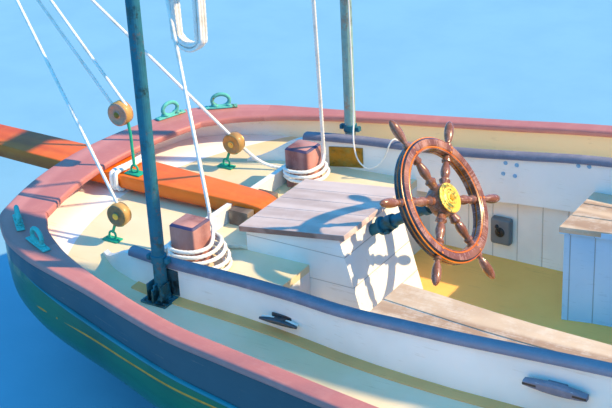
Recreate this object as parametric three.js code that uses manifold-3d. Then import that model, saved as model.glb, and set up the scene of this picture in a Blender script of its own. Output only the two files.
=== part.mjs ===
// A traditional wooden sailing yacht with a counter stern, in millimetres.
// +X points to the bow, +Y to port and +Z up. The origin is on the centreline,
// in the plane of the water, under the middle of the hull.
import * as THREE from 'three';
import { mergeVertices } from 'three/addons/utils/BufferGeometryUtils.js';
import Module from 'manifold-3d';

const wasm = await Module();
wasm.setup();

// Clearances
const GAP = 0.3;
const RUNNING = 0.5;
const CLEAR = 6;

// Hull
const STERN = -4500;
const TAFFRAIL_BOW = 0.00036;
const DECK_THICK = 30;
const CAP_THICK = 30;
const CAP_OVERHANG = 14;
const BULWARK_THICK = 42;
const FLOOR = -1000;
const CABIN_FLOOR = -330;
const ENGINE_FLOOR = -250;

// Cockpit
const WELL_AFT = -3210;
const BULKHEAD = -1170;
const BULKHEAD_THICK = 35;
const SOLE = 285;
const SOLE_THICK = 20;
const LINING = 745;
const LINING_THICK = 20;
const BOARD = 26;
const COAMING_HANG = 50;
const BENCH_TOP = 685;

// Steering
const WHEEL = new THREE.Vector3(-2760, 0, 891);
const SHAFT_TILT = THREE.MathUtils.degToRad(31.6);
const SPOKE_PHASE = THREE.MathUtils.degToRad(37.7);
const SPOKES = 6;
const WHEEL_RADIUS = 355;
const RIM_IN = 192;
const RIM_OUT = 238;
const RIM_HALF = 22;
const HOUSING = 22;
const SHAFT = 12;
const BOX_HALF = 215;
const LID_AFT = -3505;
const LID_FORE = -3043;
const LID_THICK = 22;
const RUDDER_FOOT = new THREE.Vector3(-2700, 0, -1350);
const RUDDER_HEAD = new THREE.Vector3(-3185, 0, 522);
const STOCK = 22;

// Deck fittings
const BOOMKIN_TIP = -6150;
const BOOMKIN_Y = 50;
const BOOMKIN_THICK = 60;
const BITT_X = -3614;
const BITT_Y = 396;
const BITT = 56;
const BITT_TOP = 797;
const POST_X = -3548;
const POST_Y = 672;
const POST = 24;
const BEAM_LOW = 1810;
const BEAM_TOP = 1915;

// Cabin and fore hatch
const CABIN_FRONT = 1100;
const WALL = 35;
const ROOF_THICK = 36;
const ROOF_HALF = 790;
const ROOF_CAMBER = 90;
const ROOF_SLOPE = 0.031;
const HATCH_HALF = 300;
const DOOR_SILL = 720;
const CAVITY_FORE = 3150;
const CAVITY_WALL = 46;
const FORE_HATCH = [2150, 2650];
const FORE_HATCH_HALF = 260;
const FORE_HATCH_TOP = 1010;

// Rig
const MAST_X = 1350;
const MAST = 85;
const MASTHEAD = 11000;
const BOOM_Z = 1985;
const BOOM_AFT = -5050;
const GOOSENECK = 1240;
const SPREADER_Z = 6200;
const SPREADER = 560;
const BOWSPRIT_HEEL = 3330;
const BOWSPRIT_TIP = 6100;

// Stations of the sides: distance from amidships, half breadth at the rail
const SIDE = [
  [-4300, 670], [-4200, 745], [-4050, 812], [-3900, 855], [-3690, 909], [-3460, 977], [-3230, 1039],
  [-2990, 1085], [-2760, 1129], [-2530, 1170], [-2000, 1250], [-1500, 1318], [-1000, 1370], [-300, 1420],
  [500, 1438], [1500, 1370], [2100, 1260], [2600, 1110], [3100, 900], [3500, 695], [3900, 460],
  [4200, 260], [4400, 110], [4500, 30],
];
// Heights along the boat: distance from amidships, height
const deckTop = smooth([[-4500, 630], [-3600, 620], [-2760, 630], [-1500, 655], [0, 730], [1500, 840],
  [3000, 990], [4500, 1180]]);
const railTop = smooth([[-4500, 750], [-3340, 750], [-2990, 762], [-2760, 774], [-2530, 783],
  [-1500, 812], [0, 888], [1500, 998], [3000, 1150], [4500, 1345]]);
const rabbet = smooth([[-4500, 500], [-4450, 440], [-4300, 360], [-4000, 260], [-3500, 130], [-3000, -20],
  [-2600, -190], [-2000, -400], [-1000, -600], [0, -660], [1500, -640], [2500, -550], [3300, -420],
  [3900, -200], [4200, 50], [4350, 350], [4450, 620], [4500, 950]]);
// Fullness of the sections: distance from amidships, exponent
const fullness = smooth([[-4500, 9.0], [-4000, 8.0], [-3500, 6.0], [-2500, 4.4], [-1000, 2.68], [0, 2.6],
  [2000, 2.0], [3500, 1.5], [4500, 1.2]]);
// Coaming: distance from amidships, half breadth of the board, height of the cap
const coamingHalf = smooth([[-3730, 600], [-3580, 623], [-3460, 633], [-3230, 645], [-2990, 668],
  [-2760, 704], [-2530, 726], [-2300, 735], [-1170, 735]]);
const coamingTop = smooth([[-3730, 757], [-3460, 771], [-3230, 781], [-2990, 792], [-2760, 806],
  [-2530, 827], [-2260, 845], [-1860, 870], [-1170, 900]]);
const trunkHalf = smooth([[-1170, 748], [0, 720], [1100, 620]]);
// Width of the cap rail: distance from amidships, width
const capWidth = smooth([[-4500, 200], [-4370, 190], [-4200, 165], [-4050, 140], [-3900, 110],
  [-3690, 82], [-3460, 75], [4500, 75]]);

// Finishes
const finishes = {
  topsides: paint(0x0a5541, 0.35),
  cream: paint(0xe6cda5, 0.6),
  white: paint(0xf2efe6, 0.45),
  ochre: paint(0xe1af55, 0.6),
  capRail: paint(0xd2969e, 0.5),
  weathered: paint(0xa39aa0, 0.75),
  varnish: paint(0xc4691c, 0.3),
  wheelWood: paint(0xa5521f, 0.25),
  bitt: paint(0xa8685f, 0.6),
  verdigris: paint(0x4a9c92, 0.6, 0.4),
  brass: paint(0xd0b35e, 0.35, 0.9),
  bronze: paint(0x8a7a45, 0.5, 0.8),
  spar: paint(0xc98a46, 0.35),
  wire: paint(0x9a9da0, 0.4, 0.8),
  canvas: paint(0xe9e1cf, 0.9),
  redPaint: paint(0x7a3128, 0.7),
  engine: paint(0x4d6b58, 0.6, 0.3),
  panel: paint(0x7d8288, 0.5),
  rope: paint(0xe8e2d2, 0.9),
};

function paint(color, roughness, metalness = 0) {
  return new THREE.MeshStandardMaterial({ color, roughness, metalness });
}

// Smooth curve through rows of [distance, value]
function smooth(rows) {
  const last = rows.length - 1;
  const rise = (i) => (rows[i + 1][1] - rows[i][1]) / (rows[i + 1][0] - rows[i][0]);
  const slope = (i) => {
    if (i === 0) return rise(0);
    if (i === last) return rise(last - 1);
    const [before, after] = [rise(i - 1), rise(i)];
    return before * after <= 0 ? 0 : (2 * before * after) / (before + after);
  };
  return (x) => {
    const i = THREE.MathUtils.clamp(rows.findLastIndex((row) => row[0] <= x), 0, last - 1);
    const span = rows[i + 1][0] - rows[i][0];
    const t = THREE.MathUtils.clamp((x - rows[i][0]) / span, 0, 1);
    const ease = t * t * (3 - 2 * t);
    const bend = slope(i) * t * (1 - t) ** 2 - slope(i + 1) * t * t * (1 - t);
    return rows[i][1] * (1 - ease) + rows[i + 1][1] * ease + span * bend;
  };
}

// Solids from geometry, facing outwards
function solid(geometry) {
  const bare = geometry.clone();
  bare.deleteAttribute('normal');
  bare.deleteAttribute('uv');
  const merged = mergeVertices(bare, 1e-3);
  const vertProperties = new Float32Array(merged.attributes.position.array);
  const corner = (i) => new THREE.Vector3().fromArray(vertProperties, 3 * i);
  const triangles = [];
  let volume = 0;
  for (let i = 0; i < merged.index.count; i += 3) {
    const [a, b, c] = merged.index.array.slice(i, i + 3);
    if (a === b || b === c || c === a) continue;
    triangles.push([a, b, c]);
    volume += corner(a).dot(corner(b).cross(corner(c)));
  }
  const facing = volume > 0 ? triangles : triangles.map(([a, b, c]) => [a, c, b]);
  const triVerts = new Uint32Array(facing.flat());
  return new wasm.Manifold(new wasm.Mesh({ numProp: 3, vertProperties, triVerts }));
}

function geometryOf(body) {
  const mesh = body.getMesh();
  const geometry = new THREE.BufferGeometry();
  geometry.setAttribute('position', new THREE.BufferAttribute(new Float32Array(mesh.vertProperties), 3));
  geometry.setIndex(new THREE.BufferAttribute(new Uint32Array(mesh.triVerts), 1));
  return geometry;
}

function mirrored(body) {
  return solid(geometryOf(body).applyMatrix4(new THREE.Matrix4().makeScale(1, -1, 1)));
}

function join(...bodies) {
  return bodies.reduce((all, body) => all.add(body));
}

function block([x0, x1], [y0, y1], [z0, z1]) {
  const geometry = new THREE.BoxGeometry(x1 - x0, y1 - y0, z1 - z0);
  return solid(geometry.translate((x0 + x1) / 2, (y0 + y1) / 2, (z0 + z1) / 2));
}

function extruded(outline, depth) {
  const shape = new THREE.Shape(outline.map(([a, b]) => new THREE.Vector2(a, b)));
  return new THREE.ExtrudeGeometry(shape, { depth, bevelEnabled: false, curveSegments: 8 });
}

// Outline of [x, y] points, raised from z0 to z1
function standing(outline, z0, z1) {
  return solid(extruded(outline, z1 - z0).translate(0, 0, z0));
}

// Outline of [x, z] points, widened from y0 to y1
function sideways(outline, y0, y1) {
  return solid(extruded(outline, y1 - y0).rotateX(Math.PI / 2).translate(0, y1, 0));
}

// Outline of [y, z] points, lengthened from x0 to x1
function endways(outline, x0, x1) {
  const turn = new THREE.Matrix4();
  turn.makeBasis(new THREE.Vector3(0, 1, 0), new THREE.Vector3(0, 0, 1), new THREE.Vector3(1, 0, 0));
  return solid(extruded(outline, x1 - x0).applyMatrix4(turn).translate(x0, 0, 0));
}

// Skin over closed rings of [x, y, z] points, each ring's first half facing its second half
function loft(rings) {
  const count = rings[0].length;
  const faces = [];
  const end = (r, first) => {
    for (let i = 0; i < count / 2 - 1; i += 1) {
      const [a, b, c, d] = [i, i + 1, count - 2 - i, count - 1 - i].map((k) => r * count + k);
      faces.push(...(first ? [a, c, b, a, d, c] : [a, b, c, a, c, d]));
    }
  };
  for (let r = 0; r < rings.length - 1; r += 1) {
    for (let i = 0; i < count; i += 1) {
      const a = r * count + i;
      const b = r * count + ((i + 1) % count);
      faces.push(a, b, b + count, a, b + count, a + count);
    }
  }
  end(0, true);
  end(rings.length - 1, false);
  const geometry = new THREE.BufferGeometry();
  geometry.setAttribute('position', new THREE.Float32BufferAttribute(rings.flat(2), 3));
  geometry.setIndex(faces);
  return solid(geometry);
}

// Turned shape: profile of [radius, height] points, along the line from one point towards another
function turned(profile, from, towards, sides = 24) {
  const points = profile.map(([radius, height]) => new THREE.Vector2(radius, height));
  const geometry = new THREE.LatheGeometry(points, sides);
  const up = new THREE.Vector3(0, 1, 0);
  const turn = new THREE.Quaternion().setFromUnitVectors(up, towards.clone().sub(from).normalize());
  return solid(geometry.applyQuaternion(turn).translate(from.x, from.y, from.z));
}

function rod(from, to, radius, sides = 12, endRadius = radius) {
  const length = from.distanceTo(to);
  return turned([[0, 0], [radius, 0], [endRadius, length], [0, length]], from, to, sides);
}

function vec(x, y, z) {
  return new THREE.Vector3(x, y, z);
}

const boat = new THREE.Group();

function add(name, body, finish) {
  const mesh = new THREE.Mesh(geometryOf(body), finishes[finish]);
  mesh.name = name;
  boat.add(mesh);
  return mesh;
}

// Plan of the rail from the middle of the stern to the stem
const sternRun = [0, 100, 200, 300, 400, 500, 600].map((y) => [STERN + TAFFRAIL_BOW * y * y, y]);
const STATIONS = [...sternRun, ...SIDE];
const LAST = STATIONS.length - 1;

// A point of the rail's plan and its outward normal; a negative place is on the starboard side
function railPlan(place) {
  const side = Math.sign(place) || 1;
  const at = Math.min(Math.abs(place), LAST);
  const i = Math.min(Math.floor(at), LAST - 1);
  const [a, b] = [STATIONS[i], STATIONS[i + 1]];
  const t = at - i;
  const before = STATIONS[Math.max(i - 1, 0)];
  const after = STATIONS[Math.min(i + 2, LAST)];
  const heading = (from, to) => Math.atan2(to[1] - from[1], to[0] - from[0]);
  const here = heading(i === 0 ? [STATIONS[1][0], -STATIONS[1][1]] : before, b);
  const angle = here * (1 - t) + heading(a, after) * t;
  return {
    x: a[0] + (b[0] - a[0]) * t,
    y: side * (a[1] + (b[1] - a[1]) * t),
    nx: -Math.sin(angle),
    ny: side * Math.cos(angle),
  };
}

// Place on the rail's plan at a distance from amidships
function placeAt(x) {
  const i = STATIONS.findLastIndex((station) => station[0] <= x);
  return i + (x - STATIONS[i][0]) / (STATIONS[Math.min(i + 1, LAST)][0] - STATIONS[i][0] || 1);
}

function railHalf(x) {
  return railPlan(placeAt(x)).y;
}

// Half breadth of the hull's outside at a height, grown outwards by a margin
function hullHalf(x, z, half, margin = 0) {
  const foot = rabbet(x) - margin;
  const t = THREE.MathUtils.clamp((z - foot) / (railTop(x) - foot), 0, 1);
  return (half + margin) * (1 - (1 - t) ** fullness(x));
}

function spread(from, to, count) {
  return Array.from({ length: count + 1 }, (_, i) => from + ((to - from) * i) / count);
}

// Places along the rail, with every station between two ends
function places(from, to) {
  const whole = spread(-LAST, LAST, 2 * LAST).filter((place) => place > from + 0.01 && place < to - 0.01);
  return [from, ...whole, to];
}

// Hull
const LEVELS = [0, 0.02, 0.07, 0.15, 0.26, 0.4, 0.57, 0.78, 1];

function hullShell(margin) {
  return loft(STATIONS.map(([x, half]) => {
    const foot = rabbet(x) - margin;
    const top = deckTop(x) - DECK_THICK + margin;
    const side = LEVELS.map((level) => {
      const z = foot + (top - foot) * level;
      return [x, hullHalf(x, z, half, half > 0 ? margin : 0), z];
    });
    const other = side.slice(1).map(([a, b, c]) => [a, -b, c]);
    return [...other.reverse(), ...side];
  }));
}

const stockAxis = RUDDER_HEAD.clone().sub(RUDDER_FOOT).normalize();
const stockPoint = (z) => RUDDER_FOOT.clone().addScaledVector(stockAxis, (z - RUDDER_FOOT.z) / stockAxis.z);

function inHull(from, to, floor, wall) {
  const shares = [0, 0.08, 0.25, 0.5, 0.75, 1];
  return loft(spread(from, to, 16).map((x) => {
    const foot = Math.max(floor, rabbet(x) + 110);
    const top = deckTop(x) + 5;
    const side = shares.map((share) => {
      const z = foot + (top - foot) * share;
      return [x, Math.max(hullHalf(x, z, railHalf(x)) - wall, 20), z];
    });
    return [...side.map(([a, b, c]) => [a, -b, c]).reverse(), ...side];
  }));
}

const LINING_BACK = LINING + LINING_THICK;
const BULKHEAD_FORE = BULKHEAD + BULKHEAD_THICK;
const hullAt = hullShell(0);
const hullGrown = hullShell(GAP);
const well = block([WELL_AFT - LINING_THICK - GAP, BULKHEAD_FORE + GAP],
  [-LINING_BACK - GAP, LINING_BACK + GAP], [SOLE - SOLE_THICK - GAP, 900]);
const engineSpace = block([-2200, BULKHEAD + 60], [-320, 320], [ENGINE_FLOOR, SOLE]);
const cabinSpace = inHull(BULKHEAD_FORE + GAP, CAVITY_FORE, CABIN_FLOOR, CAVITY_WALL);
const stockBore = rod(stockPoint(-600), stockPoint(900), STOCK + RUNNING, 24);
const stockRoom = rod(stockPoint(-600), stockPoint(900), STOCK + CLEAR, 16);
const hull = hullAt.subtract(well).subtract(engineSpace).subtract(cabinSpace).subtract(stockBore);
add('hull', hull, 'topsides');

const engine = join(
  block([-1950, -1300], [-220, 220], [-180, 200]),
  block([-2080, -1940], [-130, 130], [-160, 60]),
  block([-1900, -1350], [-300, 300], [ENGINE_FLOOR + GAP, -175]),
);
add('engine', engine, 'engine');

// Keel with its ballast, rudder and propeller
const byPost = (z, ahead) => [stockPoint(z).x + ahead, z];
const POST_AHEAD = STOCK + 2 * CLEAR;
const KEEL_FOOT = -1350;
const keelOutline = [
  byPost(KEEL_FOOT, POST_AHEAD), [-1500, KEEL_FOOT], [400, KEEL_FOOT], [1100, -1270], [1900, -1080],
  [2600, -850], [3300, -520], [3900, -150], [3900, 100], byPost(100, POST_AHEAD),
];
// Half thickness of the keel: distance from amidships, half thickness
const keelRings = [[-3250, 50], [-2700, 55], [-1500, 95], [400, 95], [2600, 60], [3900, 35]];
const keelSolid = loft(keelRings.map(([x, half]) => [
  [x, -half * 0.9, KEEL_FOOT - 10], [x, -half, -500], [x, -half, 110],
  [x, half, 110], [x, half, -500], [x, half * 0.9, KEEL_FOOT - 10],
]));
const SHAFT_Z = -730;
const APERTURE_FORE = -2470;
const [apertureLow, apertureTop] = [SHAFT_Z - 230, SHAFT_Z + 230];
const aperture = sideways([
  byPost(apertureLow, -60), [APERTURE_FORE, apertureLow], [APERTURE_FORE, apertureTop], byPost(apertureTop, -60),
], -200, 200);
const shaftBore = rod(vec(APERTURE_FORE - 5, 0, SHAFT_Z), vec(-2300, 0, SHAFT_Z), 20 + RUNNING, 16);
const HEEL_TOP = KEEL_FOOT + 20;
const heel = block([-2800, -2600], [-40, 40], [KEEL_FOOT, HEEL_TOP]);
const keel = keelSolid.intersect(sideways(keelOutline, -150, 150))
  .subtract(hullGrown).subtract(aperture).subtract(shaftBore).add(heel);
add('keel', keel, 'redPaint');

const blade = sideways([
  byPost(-1310, 0), [-3180, -1290], [-3400, -1130], [-3470, -800], [-3440, -350], [-3330, -90],
  byPost(-70, 0),
], -24, 24);
const stockFoot = stockPoint(HEEL_TOP + GAP + STOCK * Math.abs(stockAxis.x));
add('rudder', join(blade, rod(stockFoot, RUDDER_HEAD, STOCK, 24)), 'redPaint');

const PROPELLER_X = -2640;
const BLADES = 3;
const propellerHub = turned([[0, -60], [22, -50], [38, 0], [38, 60], [20, 66], [20, 240], [0, 240]],
  vec(PROPELLER_X, 0, SHAFT_Z), vec(0, 0, SHAFT_Z), 16);
const paddles = spread(0, BLADES - 1, BLADES - 1).map((i) => {
  const paddle = new THREE.CylinderGeometry(78, 78, 8, 20).rotateZ(Math.PI / 2).scale(1, 0.72, 1.25);
  paddle.translate(0, 0, 110).rotateZ(THREE.MathUtils.degToRad(55)).rotateX((i * 2 * Math.PI) / BLADES);
  return solid(paddle.translate(PROPELLER_X + 25, 0, SHAFT_Z));
});
add('propeller', join(propellerHub, ...paddles), 'bronze');

// Deck
function deckPlate(margin) {
  return loft(STATIONS.map(([x, half]) => {
    const [top, under] = [deckTop(x) + margin, deckTop(x) - DECK_THICK + GAP - margin];
    const grown = half > 0 ? margin : 0;
    const [upper, lower] = [hullHalf(x, top, half, grown), hullHalf(x, under, half, grown)];
    return [[x, -lower, under], [x, -upper, top], [x, upper, top], [x, lower, under]];
  }));
}

const coamingOuter = (x) => coamingHalf(x) + BOARD / 2 + GAP;
const cabinInner = (x) => trunkHalf(x) - WALL - 8;
const WELL_STATIONS = spread(WELL_AFT, BULKHEAD, 14);
const openingEdge = [
  ...WELL_STATIONS.map((x) => [x, coamingOuter(x)]),
  [BULKHEAD_FORE + GAP, coamingOuter(BULKHEAD)],
  ...spread(BULKHEAD_FORE + 2 * GAP, CABIN_FRONT - WALL - 10, 4).map((x) => [x, cabinInner(x)]),
];
const deckOpening = standing([...openingEdge, ...openingEdge.map(([x, y]) => [x, -y]).reverse()], 300, 1500);
const foreHatchHole = block(FORE_HATCH, [-FORE_HATCH_HALF, FORE_HATCH_HALF], [500, 1500]);
const mastHole = rod(vec(MAST_X, 0, 500), vec(MAST_X, 0, 1500), MAST + 0.8, 24);
add('deck', deckPlate(0).subtract(deckOpening).subtract(foreHatchHole).subtract(mastHole), 'cream');
const deckGrown = deckPlate(GAP);

// Room below the deck's top, for cutting the feet of what stands on it
const belowDeck = loft([STERN - 100, ...STATIONS.map((station) => station[0]), 4600].map((x) => {
  const top = deckTop(x) + GAP;
  return [[x, -1600, FLOOR], [x, -1600, top], [x, 1600, top], [x, 1600, FLOOR]];
}));

// Boomkin, from its heel on the aft deck out over the stern
const BOOMKIN_HEEL = -3532;
const boomkinTop = (x) => 701.5 + (BOOMKIN_HEEL - x) * 0.0176;
const boomkinHalf = smooth([[BOOMKIN_TIP, 55], [-5200, 88], [-4450, 97], [-3700, 70], [BOOMKIN_HEEL, 62]]);
function boomkinShape(margin) {
  return loft([...spread(BOOMKIN_TIP - margin, -3700, 10), -3640, BOOMKIN_HEEL + margin].map((x) => {
    const slim = x > -3640 ? ((x + 3640) / 80) * 24 : 0;
    const half = boomkinHalf(x) + margin;
    const [low, top] = [boomkinTop(x) - BOOMKIN_THICK - margin, boomkinTop(x) - slim + margin];
    return [
      [x, BOOMKIN_Y - half, low], [x, BOOMKIN_Y - half, top],
      [x, BOOMKIN_Y + half, top], [x, BOOMKIN_Y + half, low],
    ];
  }));
}
const boomkinGrown = boomkinShape(GAP);
add('boomkin', boomkinShape(0), 'varnish');
const chock = block([-3680, -3590], [BOOMKIN_Y - 110, BOOMKIN_Y + 110], [500, boomkinTop(-3640) - 20]);
add('boomkin_chock', chock.subtract(belowDeck).subtract(boomkinGrown), 'weathered');

// Bulwarks, split by the boomkin's slot in the stern
function bulwark(from, to, margin) {
  return loft(places(from, to).map((place) => {
    const p = railPlan(place);
    const side = Math.sign(place) || 1;
    const grown = p.y === 0 ? 0 : margin;
    const half = Math.abs(p.y);
    const [low, high] = [deckTop(p.x) + GAP - margin, railTop(p.x) - CAP_THICK - GAP + margin];
    const at = (z, inward) => [
      p.x - p.nx * inward, side * hullHalf(p.x, z, half, grown) - p.ny * inward, z,
    ];
    const inner = BULWARK_THICK + 2 * margin;
    return [at(low, inner), at(high, inner), at(high, 0), at(low, 0)];
  }));
}

const CORNER = placeAt(-4050);
const BOW_END = placeAt(4290);
const SEAM = 0.004;
const slotHalf = boomkinHalf(-4450) + 1;
const slot = block([-4600, -4300], [BOOMKIN_Y - slotHalf, BOOMKIN_Y + slotHalf], [500, 800]);
const bySide = bulwark(-BOW_END, BOW_END, 0).subtract(slot).decompose()
  .sort((a, b) => a.boundingBox().min[1] - b.boundingBox().min[1]);
add('bulwark_starboard', bySide[0], 'white');
add('bulwark_port', bySide[1], 'white');
const bulwarkGrown = bulwark(-BOW_END, BOW_END, GAP);

// Cap rail, widest over the stern
function railBand(from, to, out, inward, low, high, corner) {
  return loft(places(from, to).map((place) => {
    const p = railPlan(place);
    const [z0, z1] = [low(p.x), high(p.x)];
    const at = (offset, z) => [p.x + p.nx * offset, p.y + p.ny * offset, z];
    const i = out - inward(p.x);
    return [
      at(i, z0 + corner), at(i, z1 - corner), at(i + corner, z1), at(out - corner, z1),
      at(out, z1 - corner), at(out, z0 + corner), at(out - corner, z0), at(i + corner, z0),
    ];
  }));
}
const capBase = (x) => railTop(x) - CAP_THICK;
const ROUND = 6;
const taffrail = railBand(-CORNER + SEAM, CORNER - SEAM, CAP_OVERHANG, capWidth, capBase, railTop, ROUND);
const capPort = railBand(CORNER + SEAM, BOW_END, CAP_OVERHANG, capWidth, capBase, railTop, ROUND);
add('taffrail', taffrail, 'capRail');
add('caprail_port', capPort, 'capRail');
add('caprail_starboard', mirrored(capPort), 'capRail');
const capGrown = railBand(CORNER, BOW_END, CAP_OVERHANG + GAP, (x) => capWidth(x) + 2 * GAP,
  (x) => capBase(x) - GAP, (x) => railTop(x) + GAP, ROUND);

// Cockpit
const sole = block([WELL_AFT - LINING_THICK, BULKHEAD - GAP], [-LINING_BACK, LINING_BACK],
  [SOLE - SOLE_THICK, SOLE]);
add('cockpit_sole', sole.subtract(stockRoom), 'ochre');
const liningTop = (x) => deckTop(x) - COAMING_HANG - GAP;
const wellStations = [WELL_AFT + GAP, ...WELL_STATIONS.slice(1, -1), BULKHEAD - GAP];
const liningPort = loft([WELL_AFT - LINING_THICK, ...wellStations].map((x) => [
  [x, LINING, SOLE + GAP], [x, LINING, liningTop(x)],
  [x, LINING_BACK, liningTop(x)], [x, LINING_BACK, SOLE + GAP],
]));
const liningAft = block([WELL_AFT - LINING_THICK, WELL_AFT], [-LINING - 1, LINING + 1],
  [SOLE + GAP, deckTop(WELL_AFT) - DECK_THICK - GAP]);
add('cockpit_lining', join(liningPort, mirrored(liningPort), liningAft), 'white');

// Coaming: it stands on the deck aft of the well, hangs below it along the well, and ends in an ogee tail
const COAMING_AFT = -3730;
const COAMING_TAIL = -3960;
const CAP_HEIGHT = 26;
const tailTop = (x) => {
  const t = (x - COAMING_TAIL) / (COAMING_AFT - COAMING_TAIL);
  const rise = coamingTop(COAMING_AFT) - CAP_HEIGHT - deckTop(x) - 12;
  return deckTop(x) + 12 + rise * t * t * (3 - 2 * t);
};
const tailHalf = smooth([[COAMING_TAIL, 490], [-3850, 560], [COAMING_AFT, 600]]);
const boardHalf = (x) => (x < COAMING_AFT ? tailHalf(x) : coamingHalf(x));
const boardTop = (x) => (x < COAMING_AFT ? tailTop(x) : coamingTop(x) - CAP_HEIGHT - GAP);
function board(stations, low) {
  return loft(stations.map((x) => {
    const [inner, outer] = [boardHalf(x) - BOARD / 2, boardHalf(x) + BOARD / 2];
    return [[x, inner, low(x)], [x, inner, boardTop(x)], [x, outer, boardTop(x)], [x, outer, low(x)]];
  }));
}
// Cleat on the coaming's outside: distance from amidships, height, half length, half thickness
function cleat(x, z, reach, thick) {
  const face = coamingHalf(x) + BOARD / 2;
  const foot = block([x - reach * 0.3, x + reach * 0.3], [face - 8, face + 14], [z - thick, z + thick]);
  const horn = loft([[-1, 0.5], [-0.6, 0.9], [0.6, 0.9], [1, 0.5]].map(([along, size]) => {
    const [w, h] = [thick * size * 0.8, thick * size];
    const at = x + along * reach;
    const mid = face + 14 + thick * 0.7;
    return [[at, mid - w, z - h], [at, mid - w, z + h], [at, mid + w, z + h], [at, mid + w, z - h]];
  }));
  return join(foot, horn);
}
const aftStations = spread(COAMING_TAIL, COAMING_AFT, 6).concat(spread(-3640, WELL_AFT + 1, 4));
const coamingSide = join(
  board(aftStations, () => 500).subtract(belowDeck),
  board(wellStations, (x) => deckTop(x) - COAMING_HANG),
  cleat(-3024, 679, 73, 9),
  cleat(-1989, 759, 97, 13),
);
const ACROSS_X = [-3712, -3690];
const acrossHalf = coamingHalf(-3700);
const acrossBoard = block(ACROSS_X, [-acrossHalf, acrossHalf], [500, 690])
  .subtract(belowDeck).subtract(boomkinGrown);
add('coaming', join(coamingSide, mirrored(coamingSide), acrossBoard), 'white');

const capSection = [[-25, 4], [-21, 18], [-12, 26], [12, 26], [21, 18], [25, 4], [20, 0], [-20, 0]];
const capStations = [...aftStations.filter((x) => x >= COAMING_AFT), ...wellStations];
const coamingCap = loft(capStations.map((x) => capSection.map(([y, z]) => [
  x, coamingHalf(x) + y, coamingTop(x) - CAP_HEIGHT + z,
]))).subtract(rod(vec(POST_X, POST_Y, 600), vec(POST_X, POST_Y, 900), POST + GAP, 20));
add('coaming_cap_port', coamingCap, 'weathered');
add('coaming_cap_starboard', mirrored(coamingCap), 'weathered');

// Steering box with its lid
const boxFront = (z) => -3075 + 0.29 * (765 - z);
const lidUnder = (x) => 708 + ((x - LID_AFT) * 55) / 447;
const BOX_AFT = LID_AFT + 17;
const boxTop = (x) => lidUnder(x) - GAP;
const BOX_WALL = 20;
const boxOutline = [
  [BOX_AFT, 500], [BOX_AFT, boxTop(BOX_AFT)], [boxFront(765), boxTop(boxFront(765))],
  [boxFront(SOLE + GAP), SOLE + GAP], [WELL_AFT + GAP, SOLE + GAP], [WELL_AFT + GAP, 500],
];
const boxInside = [
  [BOX_AFT + BOX_WALL, 600], [BOX_AFT + BOX_WALL, 900], [boxFront(900) - BOX_WALL, 900],
  [boxFront(SOLE + BOX_WALL) - BOX_WALL, SOLE + BOX_WALL], [WELL_AFT - 5, SOLE + BOX_WALL], [WELL_AFT - 5, 600],
];
const underBox = belowDeck.intersect(block([-3600, WELL_AFT + GAP], [-400, 400], [0, 900]));
const shaftDir = vec(Math.cos(SHAFT_TILT), 0, Math.sin(SHAFT_TILT));
const onShaft = (distance) => WHEEL.clone().addScaledVector(shaftDir, distance);
const steeringBox = sideways(boxOutline, -BOX_HALF, BOX_HALF)
  .subtract(sideways(boxInside, BOX_WALL - BOX_HALF, BOX_HALF - BOX_WALL))
  .subtract(underBox).subtract(rod(onShaft(-450), onShaft(-250), HOUSING + GAP, 20)).subtract(stockRoom);
add('steering_box', steeringBox, 'white');

const lidPin = vec(LID_AFT - 8, 0, lidUnder(LID_AFT) + 11);
const lidPlate = loft([[LID_AFT, 240], [LID_FORE, 228]].map(([x, half]) => [
  [x, -half, lidUnder(x)], [x, -half, lidUnder(x) + LID_THICK],
  [x, half, lidUnder(x) + LID_THICK], [x, half, lidUnder(x)],
]));
const lidHinges = [-150, 150].map((y) => join(
  rod(vec(lidPin.x, y - 25, lidPin.z), vec(lidPin.x, y + 25, lidPin.z), 8, 12),
  block([lidPin.x, LID_AFT + 4], [y - 25, y + 25], [lidPin.z - 4, lidPin.z + 4]),
));
add('steering_box_lid', join(lidPlate, ...lidHinges), 'weathered');

// Steering gear, shaft and wheel
const GEAR_END = -430;
const housing = join(
  rod(onShaft(GEAR_END), onShaft(-62), HOUSING, 20),
  block([-3190, -3080], [-55, 55], [stockAxis.x * -STOCK + RUDDER_HEAD.z + GAP, 655]),
).subtract(rod(onShaft(GEAR_END - 50), onShaft(-50), SHAFT + RUNNING, 20));
add('shaft_housing', housing, 'verdigris');
const shaftAndCap = turned([
  [0, GEAR_END], [SHAFT, GEAR_END], [SHAFT, 30 + GAP], [57, 30 + GAP], [57, 36], [46, 38], [30, 44],
  [13, 44], [13, 56], [8, 62], [0, 64],
], WHEEL, onShaft(1), 20);
add('wheel_shaft', shaftAndCap, 'brass');

const RIM_EDGE = 8;
const rim = turned([
  [RIM_IN, -RIM_HALF + RIM_EDGE], [RIM_IN + RIM_EDGE, -RIM_HALF], [RIM_OUT - RIM_EDGE, -RIM_HALF],
  [RIM_OUT, -RIM_HALF + RIM_EDGE], [RIM_OUT, RIM_HALF - RIM_EDGE], [RIM_OUT - RIM_EDGE, RIM_HALF],
  [RIM_IN + RIM_EDGE, RIM_HALF], [RIM_IN, RIM_HALF - RIM_EDGE], [RIM_IN, -RIM_HALF + RIM_EDGE],
], WHEEL, onShaft(1), 36);
const wheelHub = turned([[0, -30], [48, -30], [56, -18], [56, 18], [48, 30], [0, 30]], WHEEL, onShaft(1), 24);
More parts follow.
